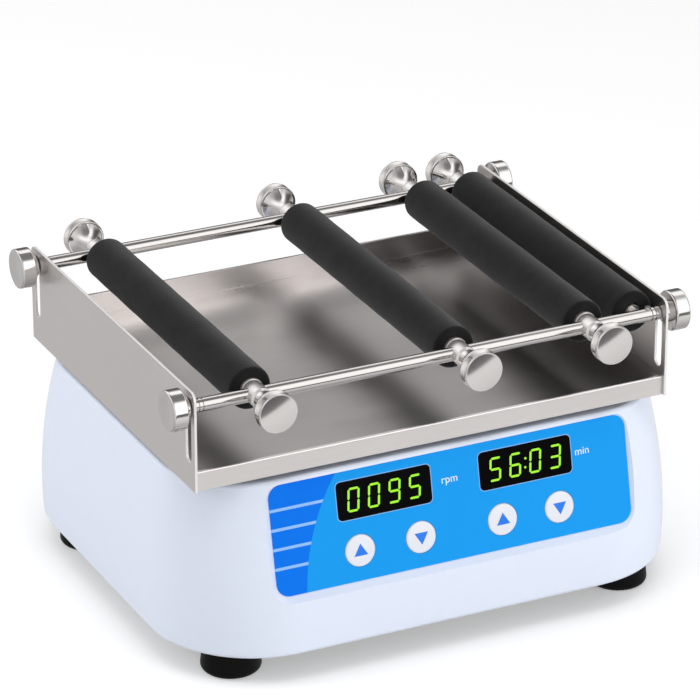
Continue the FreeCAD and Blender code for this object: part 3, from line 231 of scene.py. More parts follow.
def feed(tree, value, socket):
    """Gives an input its value: a socket is linked to it, and a number, vector or colour is typed."""
    if isinstance(value, bpy.types.NodeSocket):
        tree.links.new(value, socket)
    else:
        socket.default_value = value


def math_node(tree, act, *values, clamp=False):
    """A Math node whose inputs are numbers or sockets. It gives back its output socket."""
    node = tree.nodes.new("ShaderNodeMath")
    node.operation = act
    node.use_clamp = clamp
    for value, socket in zip(values, node.inputs):
        feed(tree, value, socket)
    return node.outputs[0]


def vector_node(tree, act, *values):
    """The same for vectors. A length, a distance and a dot product come out as a number."""
    node = tree.nodes.new("ShaderNodeVectorMath")
    node.operation = act
    for value, socket in zip(values, node.inputs):
        feed(tree, value, socket)
    return node.outputs["Value" if act in ("LENGTH", "DISTANCE", "DOT_PRODUCT") else "Vector"]


def axes_of(tree, vector):
    """A vector's three numbers, as the sockets "X", "Y" and "Z"."""
    node = tree.nodes.new("ShaderNodeSeparateXYZ")
    tree.links.new(vector, node.inputs[0])
    return node.outputs


def noise_node(tree, vector, scale, detail, rough=0.5):
    """A Noise Texture in metres: scale is how many lumps fit in one metre."""
    node = tree.nodes.new("ShaderNodeTexNoise")
    tree.links.new(vector, node.inputs["Vector"])
    feed(tree, scale, node.inputs["Scale"])
    node.inputs["Detail"].default_value = detail
    node.inputs["Roughness"].default_value = rough
    return node.outputs["Fac"]


print("node helpers ready")

# %% [markdown]
# The grain group gives the tiny unevenness of moulded plastic, rubber and foam: two sizes of noise,
# mixed. Its Height feeds a Bump node and its Tone lightens and darkens the colour a little.

# %% Group: grain
COARSE_STEP = 0.13
COARSE_SHARE = 0.3
ORIGIN = (0.0, 0.0, 0.0)


def build_grain():
    """Height = fine noise + coarse noise times its share. Tone = the coarse noise."""
    group, given, gives = new_group("grain", {"Vector": ORIGIN, "Lumps per metre": 900.0},
                                    ("Height", "Tone"))
    fine = noise_node(group, given["Vector"], given["Lumps per metre"], detail=2.0)
    wide = math_node(group, "MULTIPLY", given["Lumps per metre"], COARSE_STEP)
    coarse = noise_node(group, given["Vector"], wide, detail=2.0)
    part = math_node(group, "MULTIPLY", coarse, COARSE_SHARE)
    group.links.new(math_node(group, "ADD", fine, part), gives["Height"])
    group.links.new(coarse, gives["Tone"])
    return group


GRAIN = build_grain()
print("group", GRAIN.name)

# %% [markdown]
# Brushed sheet steel has long hairlines in one direction. The group squeezes the coordinates along
# that direction before the noise reads them, so every lump becomes a streak. It gives two sizes of
# streak, because real brushing leaves broad bands as well as hairlines.

# %% Group: brushed
BAND_STEP = 0.05


def build_brushed():
    """Streaks = fine noise of the squeezed place. Bands = the same with far fewer lines."""
    group, given, gives = new_group(
        "brushed", {"Vector": ORIGIN, "Stretch": (1.0, 1.0, 1.0), "Lines per metre": 2500.0},
        ("Streaks", "Bands"))
    squeezed = vector_node(group, "MULTIPLY", given["Vector"], given["Stretch"])
    fine = noise_node(group, squeezed, given["Lines per metre"], detail=3.0, rough=0.6)
    wide = math_node(group, "MULTIPLY", given["Lines per metre"], BAND_STEP)
    group.links.new(fine, gives["Streaks"])
    group.links.new(noise_node(group, squeezed, wide, detail=2.0), gives["Bands"])
    return group


BRUSHED = build_brushed()
print("group", BRUSHED.name)

# %% [markdown]
# Smudges are what fingers and wiping leave on smooth metal and plastic: broad soft patches, a little
# duller than the rest. They only touch the roughness, so the colour stays as it is.

# %% Group: smudges
PATCHES_PER_METRE = 18.0


def build_smudges():
    """Roughness = base + spread times (2 noise - 1)."""
    group, given, gives = new_group(
        "smudges", {"Vector": ORIGIN, "Base roughness": 0.3, "Spread": 0.08}, ("Roughness",))
    patches = noise_node(group, given["Vector"], PATCHES_PER_METRE, detail=4.0, rough=0.6)
    centred = math_node(group, "SUBTRACT", patches, 0.5)
    part = math_node(group, "MULTIPLY", centred, given["Spread"])
    doubled = math_node(group, "MULTIPLY", part, 2.0)
    rough = math_node(group, "ADD", given["Base roughness"], doubled, clamp=True)
    group.links.new(rough, gives["Roughness"])
    return group


SMUDGES = build_smudges()
print("group", SMUDGES.name)

# %% [markdown]
# ## Materials
# Each material is one Principled BSDF. What is the same all over, such as the foam's sheen, is typed
# on the shader's own sockets. What changes over the surface comes from the groups.

# %% Material helpers
def new_material(name, colour, roughness, metallic=0.0, specular=0.5):
    """A material with its Principled BSDF set up. It gives the material, its tree and the shader."""
    material = bpy.data.materials.new(name)
    material.use_nodes = True
    tree = material.node_tree
    shader = tree.nodes["Principled BSDF"]
    shader.inputs["Base Color"].default_value = (*colour, 1)
    shader.inputs["Roughness"].default_value = roughness
    shader.inputs["Metallic"].default_value = metallic
    shader.inputs["Specular IOR Level"].default_value = specular
    return material, tree, shader


def place_of(tree):
    """The Object coordinates, which are metres in the frame that all pieces share."""
    return tree.nodes.new("ShaderNodeTexCoord").outputs["Object"]


def use_group(tree, group, vector, **values):
    """Puts a group into a material. A value's name is the socket's, with _ for a blank."""
    node = tree.nodes.new("ShaderNodeGroup")
    node.node_tree = group
    tree.links.new(vector, node.inputs["Vector"])
    for name, value in values.items():
        node.inputs[name.replace("_", " ")].default_value = value
    return node


def colour_mix(tree, factor, first, second):
    """One colour blended into another by a factor. Each colour is a socket or three numbers."""
    node = tree.nodes.new("ShaderNodeMix")
    node.data_type = "RGBA"
    tree.links.new(factor, node.inputs["Factor"])
    for name, colour in (("A", first), ("B", second)):
        feed(tree, (*colour, 1) if isinstance(colour, tuple) else colour, node.inputs[name])
    return node.outputs["Result"]


def tint(tree, shader, mask, dark, light):
    """Blends two colours by a mask and feeds the Base Color."""
    tree.links.new(colour_mix(tree, mask, dark, light), shader.inputs["Base Color"])


def smudged(tree, shader, where, roughness, spread):
    """Feeds the Roughness with smudges."""
    smudge = use_group(tree, SMUDGES, where, Base_roughness=roughness, Spread=spread)
    tree.links.new(smudge.outputs["Roughness"], shader.inputs["Roughness"])


def bump(tree, shader, height, depth):
    """Raises the surface by depth in metres where the height is 1."""
    node = tree.nodes.new("ShaderNodeBump")
    node.inputs["Strength"].default_value = 1.0
    node.inputs["Distance"].default_value = depth
    tree.links.new(height, node.inputs["Height"])
    tree.links.new(node.outputs["Normal"], shader.inputs["Normal"])


def scaled(colour, factor):
    """A colour made darker or lighter."""
    return tuple(min(1.0, part * factor) for part in colour)


def grained(name, colour, roughness, lumps, depth, tone, spread=0.05, specular=0.5):
    """Plastic, rubber, paint or foam: grain for the bump and the tone, smudges for the roughness."""
    material, tree, shader = new_material(name, colour, roughness, 0.0, specular)
    where = place_of(tree)
    grain = use_group(tree, GRAIN, where, Lumps_per_metre=lumps)
    tint(tree, shader, grain.outputs["Tone"], scaled(colour, 1 - tone), scaled(colour, 1 + tone))
    bump(tree, shader, grain.outputs["Height"], depth)
    smudged(tree, shader, where, roughness, spread)
    return material


def brushed_metal(name, colour, roughness, stretch, lines, depth, spread=0.06, tone=0.08):
    """Brushed metal: streaks for the bump and the tone, bands for the roughness."""
    material, tree, shader = new_material(name, colour, roughness, 1.0)
    where = place_of(tree)
    streaks = use_group(tree, BRUSHED, where, Stretch=stretch, Lines_per_metre=lines)
    tint(tree, shader, streaks.outputs["Streaks"], scaled(colour, 1 - tone), scaled(colour, 1 + tone))
    bump(tree, shader, streaks.outputs["Streaks"], depth)
    smudge = use_group(tree, SMUDGES, where, Base_roughness=roughness, Spread=spread)
    mixed = math_node(tree, "MULTIPLY_ADD", streaks.outputs["Bands"], spread,
                      smudge.outputs["Roughness"])
    tree.links.new(mixed, shader.inputs["Roughness"])
    return material


print("material helpers ready")

# %% [markdown]
# The housing is satin ABS, white with a breath of blue. Its skin has a very fine orange peel from the
# mould, far too small for the mesh, so it is a bump of a few hundredths of a millimetre. Rubber and
# foam work the same way with a coarser, deeper grain and hardly any shine.

# %% Plastics, rubber and foam
# In order: name, colour, roughness, lumps in a metre, and the grain's depth in metres
HOUSING = grained("housing_satin", (0.785, 0.842, 0.965), 0.3, 1400.0, 0.00002, tone=0.012)
FOOT = grained("foot_rubber", (0.003, 0.003, 0.0032), 0.5, 1600.0, 0.00006, tone=0.2, spread=0.08,
               specular=0.08)
FOAM = grained("bar_foam", (0.0095, 0.0095, 0.0103), 0.9, 1300.0, 0.0002, tone=0.5, specular=0.08)
FOAM_SHEEN = FOAM.node_tree.nodes["Principled BSDF"].inputs
FOAM_SHEEN["Sheen Weight"].default_value = 0.2
FOAM_SHEEN["Sheen Roughness"].default_value = 0.5
BLACK_PLASTIC = grained("black_moulding", (0.013, 0.013, 0.014), 0.42, 1500.0, 0.00005, tone=0.15)
DISPLAY_BODY = grained("display_body", (0.02, 0.02, 0.02), 0.5, 1200.0, 0.00003, tone=0.1)
BOARD = grained("circuit_board", (0.018, 0.14, 0.055), 0.35, 800.0, 0.00003, tone=0.12)
PAINTED = grained("painted_sheet", (0.09, 0.095, 0.1), 0.55, 1100.0, 0.00006, tone=0.1)
MOTOR_PAINT = grained("motor_paint", (0.035, 0.036, 0.04), 0.4, 1000.0, 0.00004, tone=0.1)
BELT = grained("belt_rubber", (0.014, 0.014, 0.014), 0.7, 1300.0, 0.00006, tone=0.15)
print("plastics", HOUSING.name, FOAM.name)

# %% [markdown]
# The tray is brushed stainless sheet. The platform was brushed from left to right, the side plates
# from front to back. A streak is long where the coordinates are squeezed, so the stretch is small
# along the brushing. Turned pieces get short streaks all round from a fine noise. The bars' collars
# stand close to dark foam that they would mirror, and their worn skin scatters some light, so they
# are rougher and not wholly metallic.

# %% Metals
# In order: name, colour, roughness, stretch, lines in a metre, and their depth in metres
STEEL = (0.72, 0.685, 0.67)
PLATFORM = brushed_metal("platform_steel", STEEL, 0.27, (0.02, 1.0, 1.0), 3600.0, 0.000012)
SIDE = brushed_metal("side_steel", STEEL, 0.30, (1.0, 0.02, 1.0), 3600.0, 0.000012)
ALL_ROUND = (1.0, 1.0, 1.0)
ROD = brushed_metal("polished_rod", (0.52, 0.50, 0.485), 0.1, (0.05, 1.0, 1.0), 2400.0, 0.000003,
                    spread=0.04, tone=0.03)
KNOB = brushed_metal("turned_knob", (0.62, 0.60, 0.585), 0.08, ALL_ROUND, 3000.0, 0.000002,
                     spread=0.03, tone=0.04)
COLLAR = brushed_metal("collar_steel", (0.70, 0.675, 0.66), 0.24, ALL_ROUND, 3000.0, 0.000004,
                       spread=0.04, tone=0.05)
COLLAR.node_tree.nodes["Principled BSDF"].inputs["Metallic"].default_value = 0.8
SCREW = brushed_metal("screw_zinc", (0.55, 0.55, 0.55), 0.3, ALL_ROUND, 2600.0, 0.00001)
ALUMINIUM = brushed_metal("machined_aluminium", (0.72, 0.73, 0.75), 0.32, (0.1, 1.0, 1.0), 2400.0,
                          0.00001)
BEARING = brushed_metal("bearing_steel", (0.6, 0.6, 0.61), 0.22, (1.0, 1.0, 0.3), 3000.0, 0.000006)
CRANK = brushed_metal("crank_steel", (0.45, 0.45, 0.46), 0.28, (1.0, 1.0, 0.4), 2600.0, 0.00001)
print("metals", PLATFORM.name, SIDE.name, ROD.name)

# %% [markdown]
# ## The control panel's own frame
# The panel leans back. Each key travels straight into it, so the first key's joint axis is the inward
# normal. With it, any print can be placed by two lengths: u to the right and v up the slope, from the
# label's centre.

# %% Panel frame
LABEL_THICKNESS = 0.4
INWARD = np.array(JOINTS["rpm_up_press"]["axis"], float)
OUTWARD = -INWARD / np.linalg.norm(INWARD)
ACROSS = np.array([1.0, 0.0, 0.0])
UP_SLOPE = np.cross(OUTWARD, ACROSS)
label_low, label_high = box_mm("panel_label")
LABEL_FRONT = (label_low + label_high) / 2 + OUTWARD * LABEL_THICKNESS / 2


def on_panel(u, v, out):
    """Panel lengths in mm to points of the shared frame: centre + u across + v up + out outwards."""
    u, v, out = np.broadcast_arrays(np.asarray(u, float), v, out)
    return (LABEL_FRONT + u[..., None] * ACROSS + v[..., None] * UP_SLOPE + out[..., None] * OUTWARD)


print("panel leans", round(math.degrees(math.asin(OUTWARD[2])), 2), "degrees")

# %% [markdown]
# The label is a printed film: light blue, with a darker field at its left whose edge is a wide arc,
# four pale stripes across that field, and a hairline round each display window. Printed shapes have
# sharp edges at any zoom when a shader works them out from distances, so the print is a mask in the
# material, and no picture is needed.

# %% Group: distance to a rounded rectangle
def build_rounded_box():
    """Distance to a rounded rectangle: with q = |p - centre| - half + corner, it is the length of q's
    positive part, less the corner."""
    group, given, gives = new_group(
        "rounded_box", {"Vector": ORIGIN, "Centre": ORIGIN, "Inner half": (0.01, 0.01, 0.0),
                        "Corner": 0.002}, ("Distance",))
    from_centre = vector_node(group, "SUBTRACT", given["Vector"], given["Centre"])
    from_inner = vector_node(group, "SUBTRACT", vector_node(group, "ABSOLUTE", from_centre),
                             given["Inner half"])
    length = vector_node(group, "LENGTH", vector_node(group, "MAXIMUM", from_inner, ORIGIN))
    group.links.new(math_node(group, "SUBTRACT", length, given["Corner"]), gives["Distance"])
    return group


ROUNDED_BOX = build_rounded_box()
print("group", ROUNDED_BOX.name)

# %% [markdown]
# The label's sizes below are panel lengths in millimetres. The darker field is all that lies beyond
# the arc, a stripe is where the share of a pitch is under its width, and the hairlines are where the
# distance to a window is small. Each mask lays one more colour over the last.

# %% Label sizes
LIGHT_BLUE = (0.008, 0.335, 0.87)
DARK_BLUE = (0.0005, 0.18, 0.85)
STRIPE_BLUE = (0.29, 0.54, 0.95)
ARC_CENTRE = (25.2, -36.0)
ARC_RADIUS = 109.0
STRIPE_TOP = 16.8
STRIPE_PITCH = 9.96
STRIPE_WIDTH = 1.5
STRIPE_COUNT = 4
WINDOW_LEFT = -37.2
WINDOW_RIGHT = 41.8
WINDOW_UP = 13.5
WINDOW_SIZE = (52.0, 19.8)
WINDOW_CORNER = 2.5
OUTLINE_WIDTH = 0.45
LABEL_TONE = 0.03
print("label sizes: arc", ARC_RADIUS, "stripes", STRIPE_COUNT)


# %% Label material
def panel_coordinates(tree):
    """Object coordinates turned into (u, v, 0) in metres, with dot products."""
    moved = vector_node(tree, "SUBTRACT", place_of(tree), tuple(LABEL_FRONT * MM))
    flat = tree.nodes.new("ShaderNodeCombineXYZ")
    for index, direction in enumerate((ACROSS, UP_SLOPE)):
        tree.links.new(vector_node(tree, "DOT_PRODUCT", moved, tuple(direction)), flat.inputs[index])
    return flat.outputs[0]


def label_material():
    """Light blue, then the field, the stripes and the hairlines, each by its mask."""
    material, tree, shader = new_material("label_print", LIGHT_BLUE, roughness=0.35, specular=0.1)
    flat = panel_coordinates(tree)
    reach = vector_node(tree, "DISTANCE", flat, (ARC_CENTRE[0] * MM, ARC_CENTRE[1] * MM, 0))
    field = math_node(tree, "GREATER_THAN", reach, ARC_RADIUS * MM)
    drop = math_node(tree, "SUBTRACT", STRIPE_TOP * MM, axes_of(tree, flat)["Y"])
    turns = math_node(tree, "DIVIDE", drop, STRIPE_PITCH * MM)
    inside = math_node(tree, "LESS_THAN", math_node(tree, "FRACT", turns), STRIPE_WIDTH / STRIPE_PITCH)
    started = math_node(tree, "GREATER_THAN", turns, 0.0)
    ended = math_node(tree, "LESS_THAN", turns, float(STRIPE_COUNT))
    stripe = math_node(tree, "MULTIPLY", math_node(tree, "MULTIPLY", inside, field),
                       math_node(tree, "MULTIPLY", started, ended))
    distances = []
    for centre in (WINDOW_LEFT, WINDOW_RIGHT):
        box = use_group(tree, ROUNDED_BOX, flat, Centre=(centre * MM, WINDOW_UP * MM, 0),
                        Inner_half=((WINDOW_SIZE[0] / 2 - WINDOW_CORNER) * MM,
                                    (WINDOW_SIZE[1] / 2 - WINDOW_CORNER) * MM, 0),
                        Corner=WINDOW_CORNER * MM)
        distances.append(box.outputs["Distance"])
    nearest = math_node(tree, "MINIMUM", distances[0], distances[1])
    outline = math_node(tree, "LESS_THAN", nearest, OUTLINE_WIDTH * MM)
    grain = use_group(tree, GRAIN, place_of(tree), Lumps_per_metre=60.0)
    print_colour = colour_mix(tree, grain.outputs["Tone"], scaled(LIGHT_BLUE, 1 - LABEL_TONE),
                              scaled(LIGHT_BLUE, 1 + LABEL_TONE))
    for mask, colour in ((field, DARK_BLUE), (stripe, STRIPE_BLUE), (outline, STRIPE_BLUE)):
        print_colour = colour_mix(tree, mask, print_colour, colour)
    tree.links.new(print_colour, shader.inputs["Base Color"])
    fine = use_group(tree, GRAIN, place_of(tree), Lumps_per_metre=2600.0)
    bump(tree, shader, fine.outputs["Height"], depth=0.000012)
    return material


LABEL = label_material()
print("label", LABEL.name)

# %% [markdown]
# ## Windows and lit figures
# Behind each dark window sits a four-figure display of seven segments. Only lit segments show, so each
# is a thin bar with pointed ends, a hair in front of the film, that glows by itself. A segment is a
# hexagon, and one formula leans and places them all: its table of corners is moved, turned by a
# quarter where the segment stands upright, and slanted.

# %% Window film
FILM_ROUGHNESS = 0.12
WINDOW_FILM, film_tree, film_shader = new_material("window_film", (0.0025, 0.0025, 0.003),
                                                   FILM_ROUGHNESS, specular=0.03)
smudged(film_tree, film_shader, place_of(film_tree), FILM_ROUGHNESS, spread=0.05)
print("window film", WINDOW_FILM.name)

# %% [markdown]
# The glow is a little uneven, as a lit plastic segment is, and its strength of 1 gives the colour as
# it is written.

# %% Glow of the segments
LIT_GREEN = (0.36, 0.90, 0.012)
SEGMENT_GLOW, glow_tree, glow_shader = new_material("lit_segment", (0.05, 0.12, 0.0), roughness=0.35)
glow_noise = use_group(glow_tree, GRAIN, place_of(glow_tree), Lumps_per_metre=900.0)
glow_colour = colour_mix(glow_tree, glow_noise.outputs["Tone"], scaled(LIT_GREEN, 0.86), LIT_GREEN)
glow_tree.links.new(glow_colour, glow_shader.inputs["Emission Color"])
glow_shader.inputs["Emission Strength"].default_value = 1.0
print("glow", SEGMENT_GLOW.name)

# %% [markdown]
# The sizes of the figures come first, then the table of segments, and then the prisms that stand on
# the panel.

# %% Figures
FIGURE_WIDTH = 6.6
FIGURE_HEIGHT = 12.4
FIGURE_PITCH = 11.3
FIGURE_SLANT = math.tan(math.radians(6))
STROKE = 1.12
STROKE_GAP = 0.3
FILM_PROUD = 0.2
SEGMENT_LOW = FILM_PROUD - 0.05
SEGMENT_HIGH = FILM_PROUD + 0.06
DOT_RADIUS = 0.62
DOT_RISE = 2.3
DOT_SIDES = 12
# Segments a to g: top, upper right, lower right, bottom, lower left, upper left, middle
LIT = {"0": "abcdef", "3": "abcdg", "5": "acdfg", "6": "acdefg", "9": "abcdfg"}


def segment_table(text):
    """Centre u, centre v, length and quarter turns of every lit segment of a text of four figures."""
    wide, high = FIGURE_WIDTH - STROKE, FIGURE_HEIGHT - STROKE
    places = {"a": (0, high / 2, wide, 0), "g": (0, 0, wide, 0), "d": (0, -high / 2, wide, 0),
              "b": (wide / 2, high / 4, high / 2, 1), "c": (wide / 2, -high / 4, high / 2, 1),
              "f": (-wide / 2, high / 4, high / 2, 1), "e": (-wide / 2, -high / 4, high / 2, 1)}
    rows = []
    for number, figure in enumerate(text):
        centre = (number - (len(text) - 1) / 2) * FIGURE_PITCH
        for segment in LIT[figure]:
            across, up, length, quarter_turns = places[segment]
            rows.append((centre + across, up, length, quarter_turns))
    return np.array(rows, float)


def prisms(outlines, low, high):
    """Flat outlines (count, corners, 2) in u and v, raised from low to high: closed prisms."""
    count, corners = outlines.shape[:2]
    under = on_panel(outlines[..., 0], outlines[..., 1], low)
    over = on_panel(outlines[..., 0], outlines[..., 1], high)
    points = np.concatenate([under, over], axis=1).reshape(-1, 3)
    start = (np.arange(count) * 2 * corners)[:, None]
    ring = np.arange(corners)
    following = np.roll(ring, -1)
    caps = (start + corners + ring).tolist() + (start + ring[::-1]).tolist()
    sides = np.stack([start + ring, start + following, start + following + corners,
                      start + ring + corners], axis=2)
    return points, caps + sides.reshape(-1, 4).tolist()


def figures(name, text, centre, colon):
    """The lit segments of one display: hexagons of one stroke's width, leaned by the slant."""
    rows = segment_table(text)
    length = rows[:, 2:3] / 2 - STROKE_GAP / 2
    half = STROKE / 2
    across = np.hstack([-length, -length + half, length - half, length, length - half, -length + half])
    up = np.array([0, -half, -half, 0, half, half])[None, :] * np.ones_like(length)
    upright = rows[:, 3:4] > 0.5
    u = np.where(upright, -up, across) + rows[:, 0:1]
    v = np.where(upright, across, up) + rows[:, 1:2]
    outlines = np.stack([u + v * FIGURE_SLANT + centre, v + WINDOW_UP], axis=2)
    points, faces = prisms(outlines, SEGMENT_LOW, SEGMENT_HIGH)
    piece(name, points, faces, SEGMENT_GLOW, "root")
    if colon:
        angle = np.linspace(0, 2 * math.pi, DOT_SIDES, endpoint=False)
        across, up = DOT_RADIUS * np.cos(angle) + centre, DOT_RADIUS * np.sin(angle) + WINDOW_UP
        dots = [np.stack([across + v * FIGURE_SLANT, up + v], axis=1) for v in (-DOT_RISE, DOT_RISE)]
        points, faces = prisms(np.array(dots), SEGMENT_LOW, SEGMENT_HIGH)
        piece(name + "_colon", points, faces, SEGMENT_GLOW, "root")
    print(name, "segments", len(rows))


figures("speed_figures", "0095", WINDOW_LEFT, False)
figures("time_figures", "5603", WINDOW_RIGHT, True)

# %% [markdown]
# The two unit words beside the windows are plain units, printed in thin white letters. Blender's text
# object draws them from its built-in font. It is turned into a mesh first and then laid on the
# panel, so that the finished piece itself stands at the origin.

# %% Unit words
INK, ink_tree, ink_shader = new_material("white_ink", (0.80, 0.88, 0.97), roughness=0.4)
ink_grain = use_group(ink_tree, GRAIN, place_of(ink_tree), Lumps_per_metre=1500.0)
tint(ink_tree, ink_shader, ink_grain.outputs["Tone"], (0.74, 0.84, 0.96), (0.86, 0.92, 0.98))
WORD_SIZE = 5.7
WORD_RAISE = 0.04


def word(name, text, u, v):
    """A flat word whose centre lies at u and v on the panel."""
    curve = bpy.data.curves.new(name, "FONT")
    curve.body = text
    curve.size = WORD_SIZE
    curve.extrude = WORD_RAISE / 2
    curve.align_x = "CENTER"
    drawing = add_object(name + "_drawing", curve)
    bpy.context.view_layer.update()
    flat = bpy.data.meshes.new_from_object(drawing)
    bpy.data.objects.remove(drawing)
    corners = np.empty(len(flat.vertices) * 3)
    flat.vertices.foreach_get("co", corners)
    corners = corners.reshape(-1, 3)
    faces = [list(polygon.vertices) for polygon in flat.polygons]
    points = on_panel(corners[:, 0] + u, corners[:, 1] + v, corners[:, 2] + WORD_RAISE / 2)
    piece(name, points, faces, INK, "root")


word("speed_unit", "rpm", -0.9, 11.8)
word("time_unit", "min", 74.2, 11.7)
print("unit words made")

# %% [markdown]
# ## The keys
# Each key is a round cap, slightly domed, with a blue triangle printed on it. The cap is a turned
# piece, so its profile carries the dome. The triangle follows the cap, so it is read from a UV map in
# millimetres from the key's centre: three straight edges, and a point is inside where it is on the
# inner side of all three. For the keys that count down, the map is turned by half a turn.

# %% Key material
TRIANGLE_WIDTH = 7.6
TRIANGLE_HEIGHT = 6.3
TRIANGLE_APEX = TRIANGLE_HEIGHT * 0.6
KEY_ROUGHNESS = 0.33
KEY_WHITE = (0.80, 0.82, 0.88)
KEY_BLUE = (0.004, 0.19, 0.84)


def key_material():
    """Inside the triangle: slope |x| + y is under the apex, and y is above the base."""
    material, tree, shader = new_material("key_cap", KEY_WHITE, KEY_ROUGHNESS)
    uv = tree.nodes.new("ShaderNodeUVMap")
    uv.uv_map = "key_mm"
    axes = axes_of(tree, uv.outputs["UV"])
    aside = math_node(tree, "ABSOLUTE", axes["X"])
    slope = TRIANGLE_HEIGHT / (TRIANGLE_WIDTH / 2)
    edge = math_node(tree, "MULTIPLY_ADD", aside, slope, axes["Y"])
    under_sides = math_node(tree, "LESS_THAN", edge, TRIANGLE_APEX)
    above_base = math_node(tree, "GREATER_THAN", axes["Y"], TRIANGLE_APEX - TRIANGLE_HEIGHT)
    mask = math_node(tree, "MULTIPLY", under_sides, above_base)
    tint(tree, shader, mask, KEY_WHITE, KEY_BLUE)
    where = place_of(tree)
    grain = use_group(tree, GRAIN, where, Lumps_per_metre=1800.0)
    bump(tree, shader, grain.outputs["Height"], depth=0.000015)
    smudged(tree, shader, where, KEY_ROUGHNESS, spread=0.06)
    return material


KEY_CAP = key_material()
print("key material", KEY_CAP.name)

# %% [markdown]
# Under the panel, the cap has a flange that keeps it from falling out and a stem that presses the
# switch. They are in the profile too, so the cap closes behind and can replace its solid.

# %% Keys
KEY_RADIUS = 8.2
KEY_PROUD = 1.0
KEY_DOME = 0.45
KEY_DROP = -13.0
KEY_TURNS = 72
KEY_STEM = 2.5
KEY_STEM_LENGTH = 2.2
KEY_FLANGE = 9
KEY_FLANGE_THICKNESS = 1.0
KEY_SHOULDER = 1.2
KEY_SHOULDER_ROUND = 0.7


def key_profile(depth):
    """From the stem's end, out over the flange, up the side and over the dome to the middle."""
    rim = KEY_PROUD - KEY_DOME
    flange_low = -depth + KEY_STEM_LENGTH
    flange_high = flange_low + KEY_FLANGE_THICKNESS
    lower = eased([(0, -depth), (KEY_STEM, -depth), (KEY_STEM, flange_low), (KEY_FLANGE, flange_low),
                   (KEY_FLANGE, flange_high), (KEY_RADIUS, flange_high),
                   (KEY_RADIUS, rim, KEY_SHOULDER_ROUND), (KEY_RADIUS - KEY_SHOULDER, rim)])[:-1]
    across = np.linspace(KEY_RADIUS - KEY_SHOULDER, 0, 14)
    dome = rim + KEY_DOME * (1 - (across / KEY_RADIUS) ** 2)
    return np.vstack([lower, np.stack([across, dome], axis=1)])


def key(node, body, points_down):
    """One cap. Its solid leans with the panel, so its depth is that of its box, less its flange's lean,
    divided by how far outwards looks to the front."""
    low, high = box_mm(node)
    u = (low[0] + high[0]) / 2 - LABEL_FRONT[0]
    leaning = 2 * KEY_FLANGE * abs(UP_SLOPE[1])
    depth = (high[1] - low[1] - leaning) / abs(OUTWARD[1]) - KEY_PROUD
    points, faces = lathe(key_profile(depth), KEY_TURNS)
    placed = on_panel(points[:, 0] + u, points[:, 1] + KEY_DROP, points[:, 2])
    cap = piece(node + "_cap", placed, faces, KEY_CAP, body, sharp=30)
    mesh = cap.data
    layer = mesh.uv_layers.new(name="key_mm")
    corner = np.empty(len(mesh.loops), int)
    mesh.loops.foreach_get("vertex_index", corner)
    turned = -1.0 if points_down else 1.0
    layer.data.foreach_set("uv", (points[corner, :2] * turned).astype(np.float32).ravel())
    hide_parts(node)


for name, down in (("rpm_up", False), ("rpm_down", True), ("time_up", False), ("time_down", True)):
    key(name + "_key", name, down)
print("four keys")

# %% [markdown]
# ## Foam sleeves
# Each bar wears a sleeve of closed-cell foam. It is soft, so its cut ends are rounded and its outside
# is never quite true. The sleeve is a closed profile carried round the bar, and a few slow sine waves
# along and around it give the unevenness.

# %% Foam
FOAM_TURNS = 72
FOAM_ROUND = 1.9
FOAM_BORE = 5.0
FOAM_WAVE = 0.1
FOAM_BULGE = 0.6
SLOW_WAVE = 0.09
QUICK_WAVE = 0.23


def foam_profile(half, radius):
    """Closed: from the front bore, out over the rounded end, along the outside, and back inside. An end
    face dips towards the bore by the bulge times the square of the share of the way in."""
    along = np.linspace(-half + FOAM_ROUND, half - FOAM_ROUND, 60)
    angle = np.linspace(0, math.pi / 2, 8)
    low_end = np.stack([radius - FOAM_ROUND + FOAM_ROUND * np.sin(angle),
                        -half + FOAM_ROUND - FOAM_ROUND * np.cos(angle)], axis=1)
    high_end = np.stack([low_end[::-1, 0], -low_end[::-1, 1]], axis=1)
    inner = np.linspace(FOAM_BORE, radius - FOAM_ROUND, 5)[:-1]
    dip = ((radius - FOAM_ROUND - inner) / (radius - FOAM_ROUND - FOAM_BORE)) ** 2
    low_face = np.stack([inner, -half + FOAM_BULGE * dip], axis=1)
    high_face = np.stack([low_face[::-1, 0], -low_face[::-1, 1]], axis=1)
    outside = np.stack([np.full(len(along) - 2, radius), along[1:-1]], axis=1)
    return np.vstack([low_face, low_end, outside, high_end, high_face])


def foam(number, body):
    """One sleeve. Each bar's number shifts the waves, so that no two sleeves are alike."""
    node = "bar_%d_foam" % number
    low, high = box_mm(node)
    centre = (low + high) / 2
    half = (high[1] - low[1]) / 2
    radius = (high[0] - low[0]) / 2 - FOAM_WAVE

    def uneven(r, h, a):
        """The radius changes by half the wave times (sin(height) sin(2 angle) + a slow spiral)."""
        slow = np.sin(h * SLOW_WAVE + number) * np.sin(2 * a + number)
        spiral = np.sin(h * QUICK_WAVE + 2 * number + a)
        return (slow + spiral) * FOAM_WAVE / 2 * (r > radius - 1)

    points, faces = ring_lathe(foam_profile(half, radius), FOAM_TURNS, uneven)
    placed = turn_to(points, centre, (0, 1, 0), (1, 0, 0))
    sleeve = piece("bar_%d_sleeve" % number, placed, faces, FOAM, body, sharp=60)
    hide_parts(node)


for number in (1, 2, 3, 4):
    foam(number, "bar_%d" % number if number < 4 else "rails")
print("four foam sleeves")

# %% [markdown]
# ## Knobs
# The thumb knobs are turned from stainless bar: a round head with a knurled rim, a flat polished face
# with a fine bevel, and a cone that flares out from a slim neck. The knurl is straight: its teeth are
# a triangle wave around the rim, so they are real geometry. First comes the thumb knob's profile.

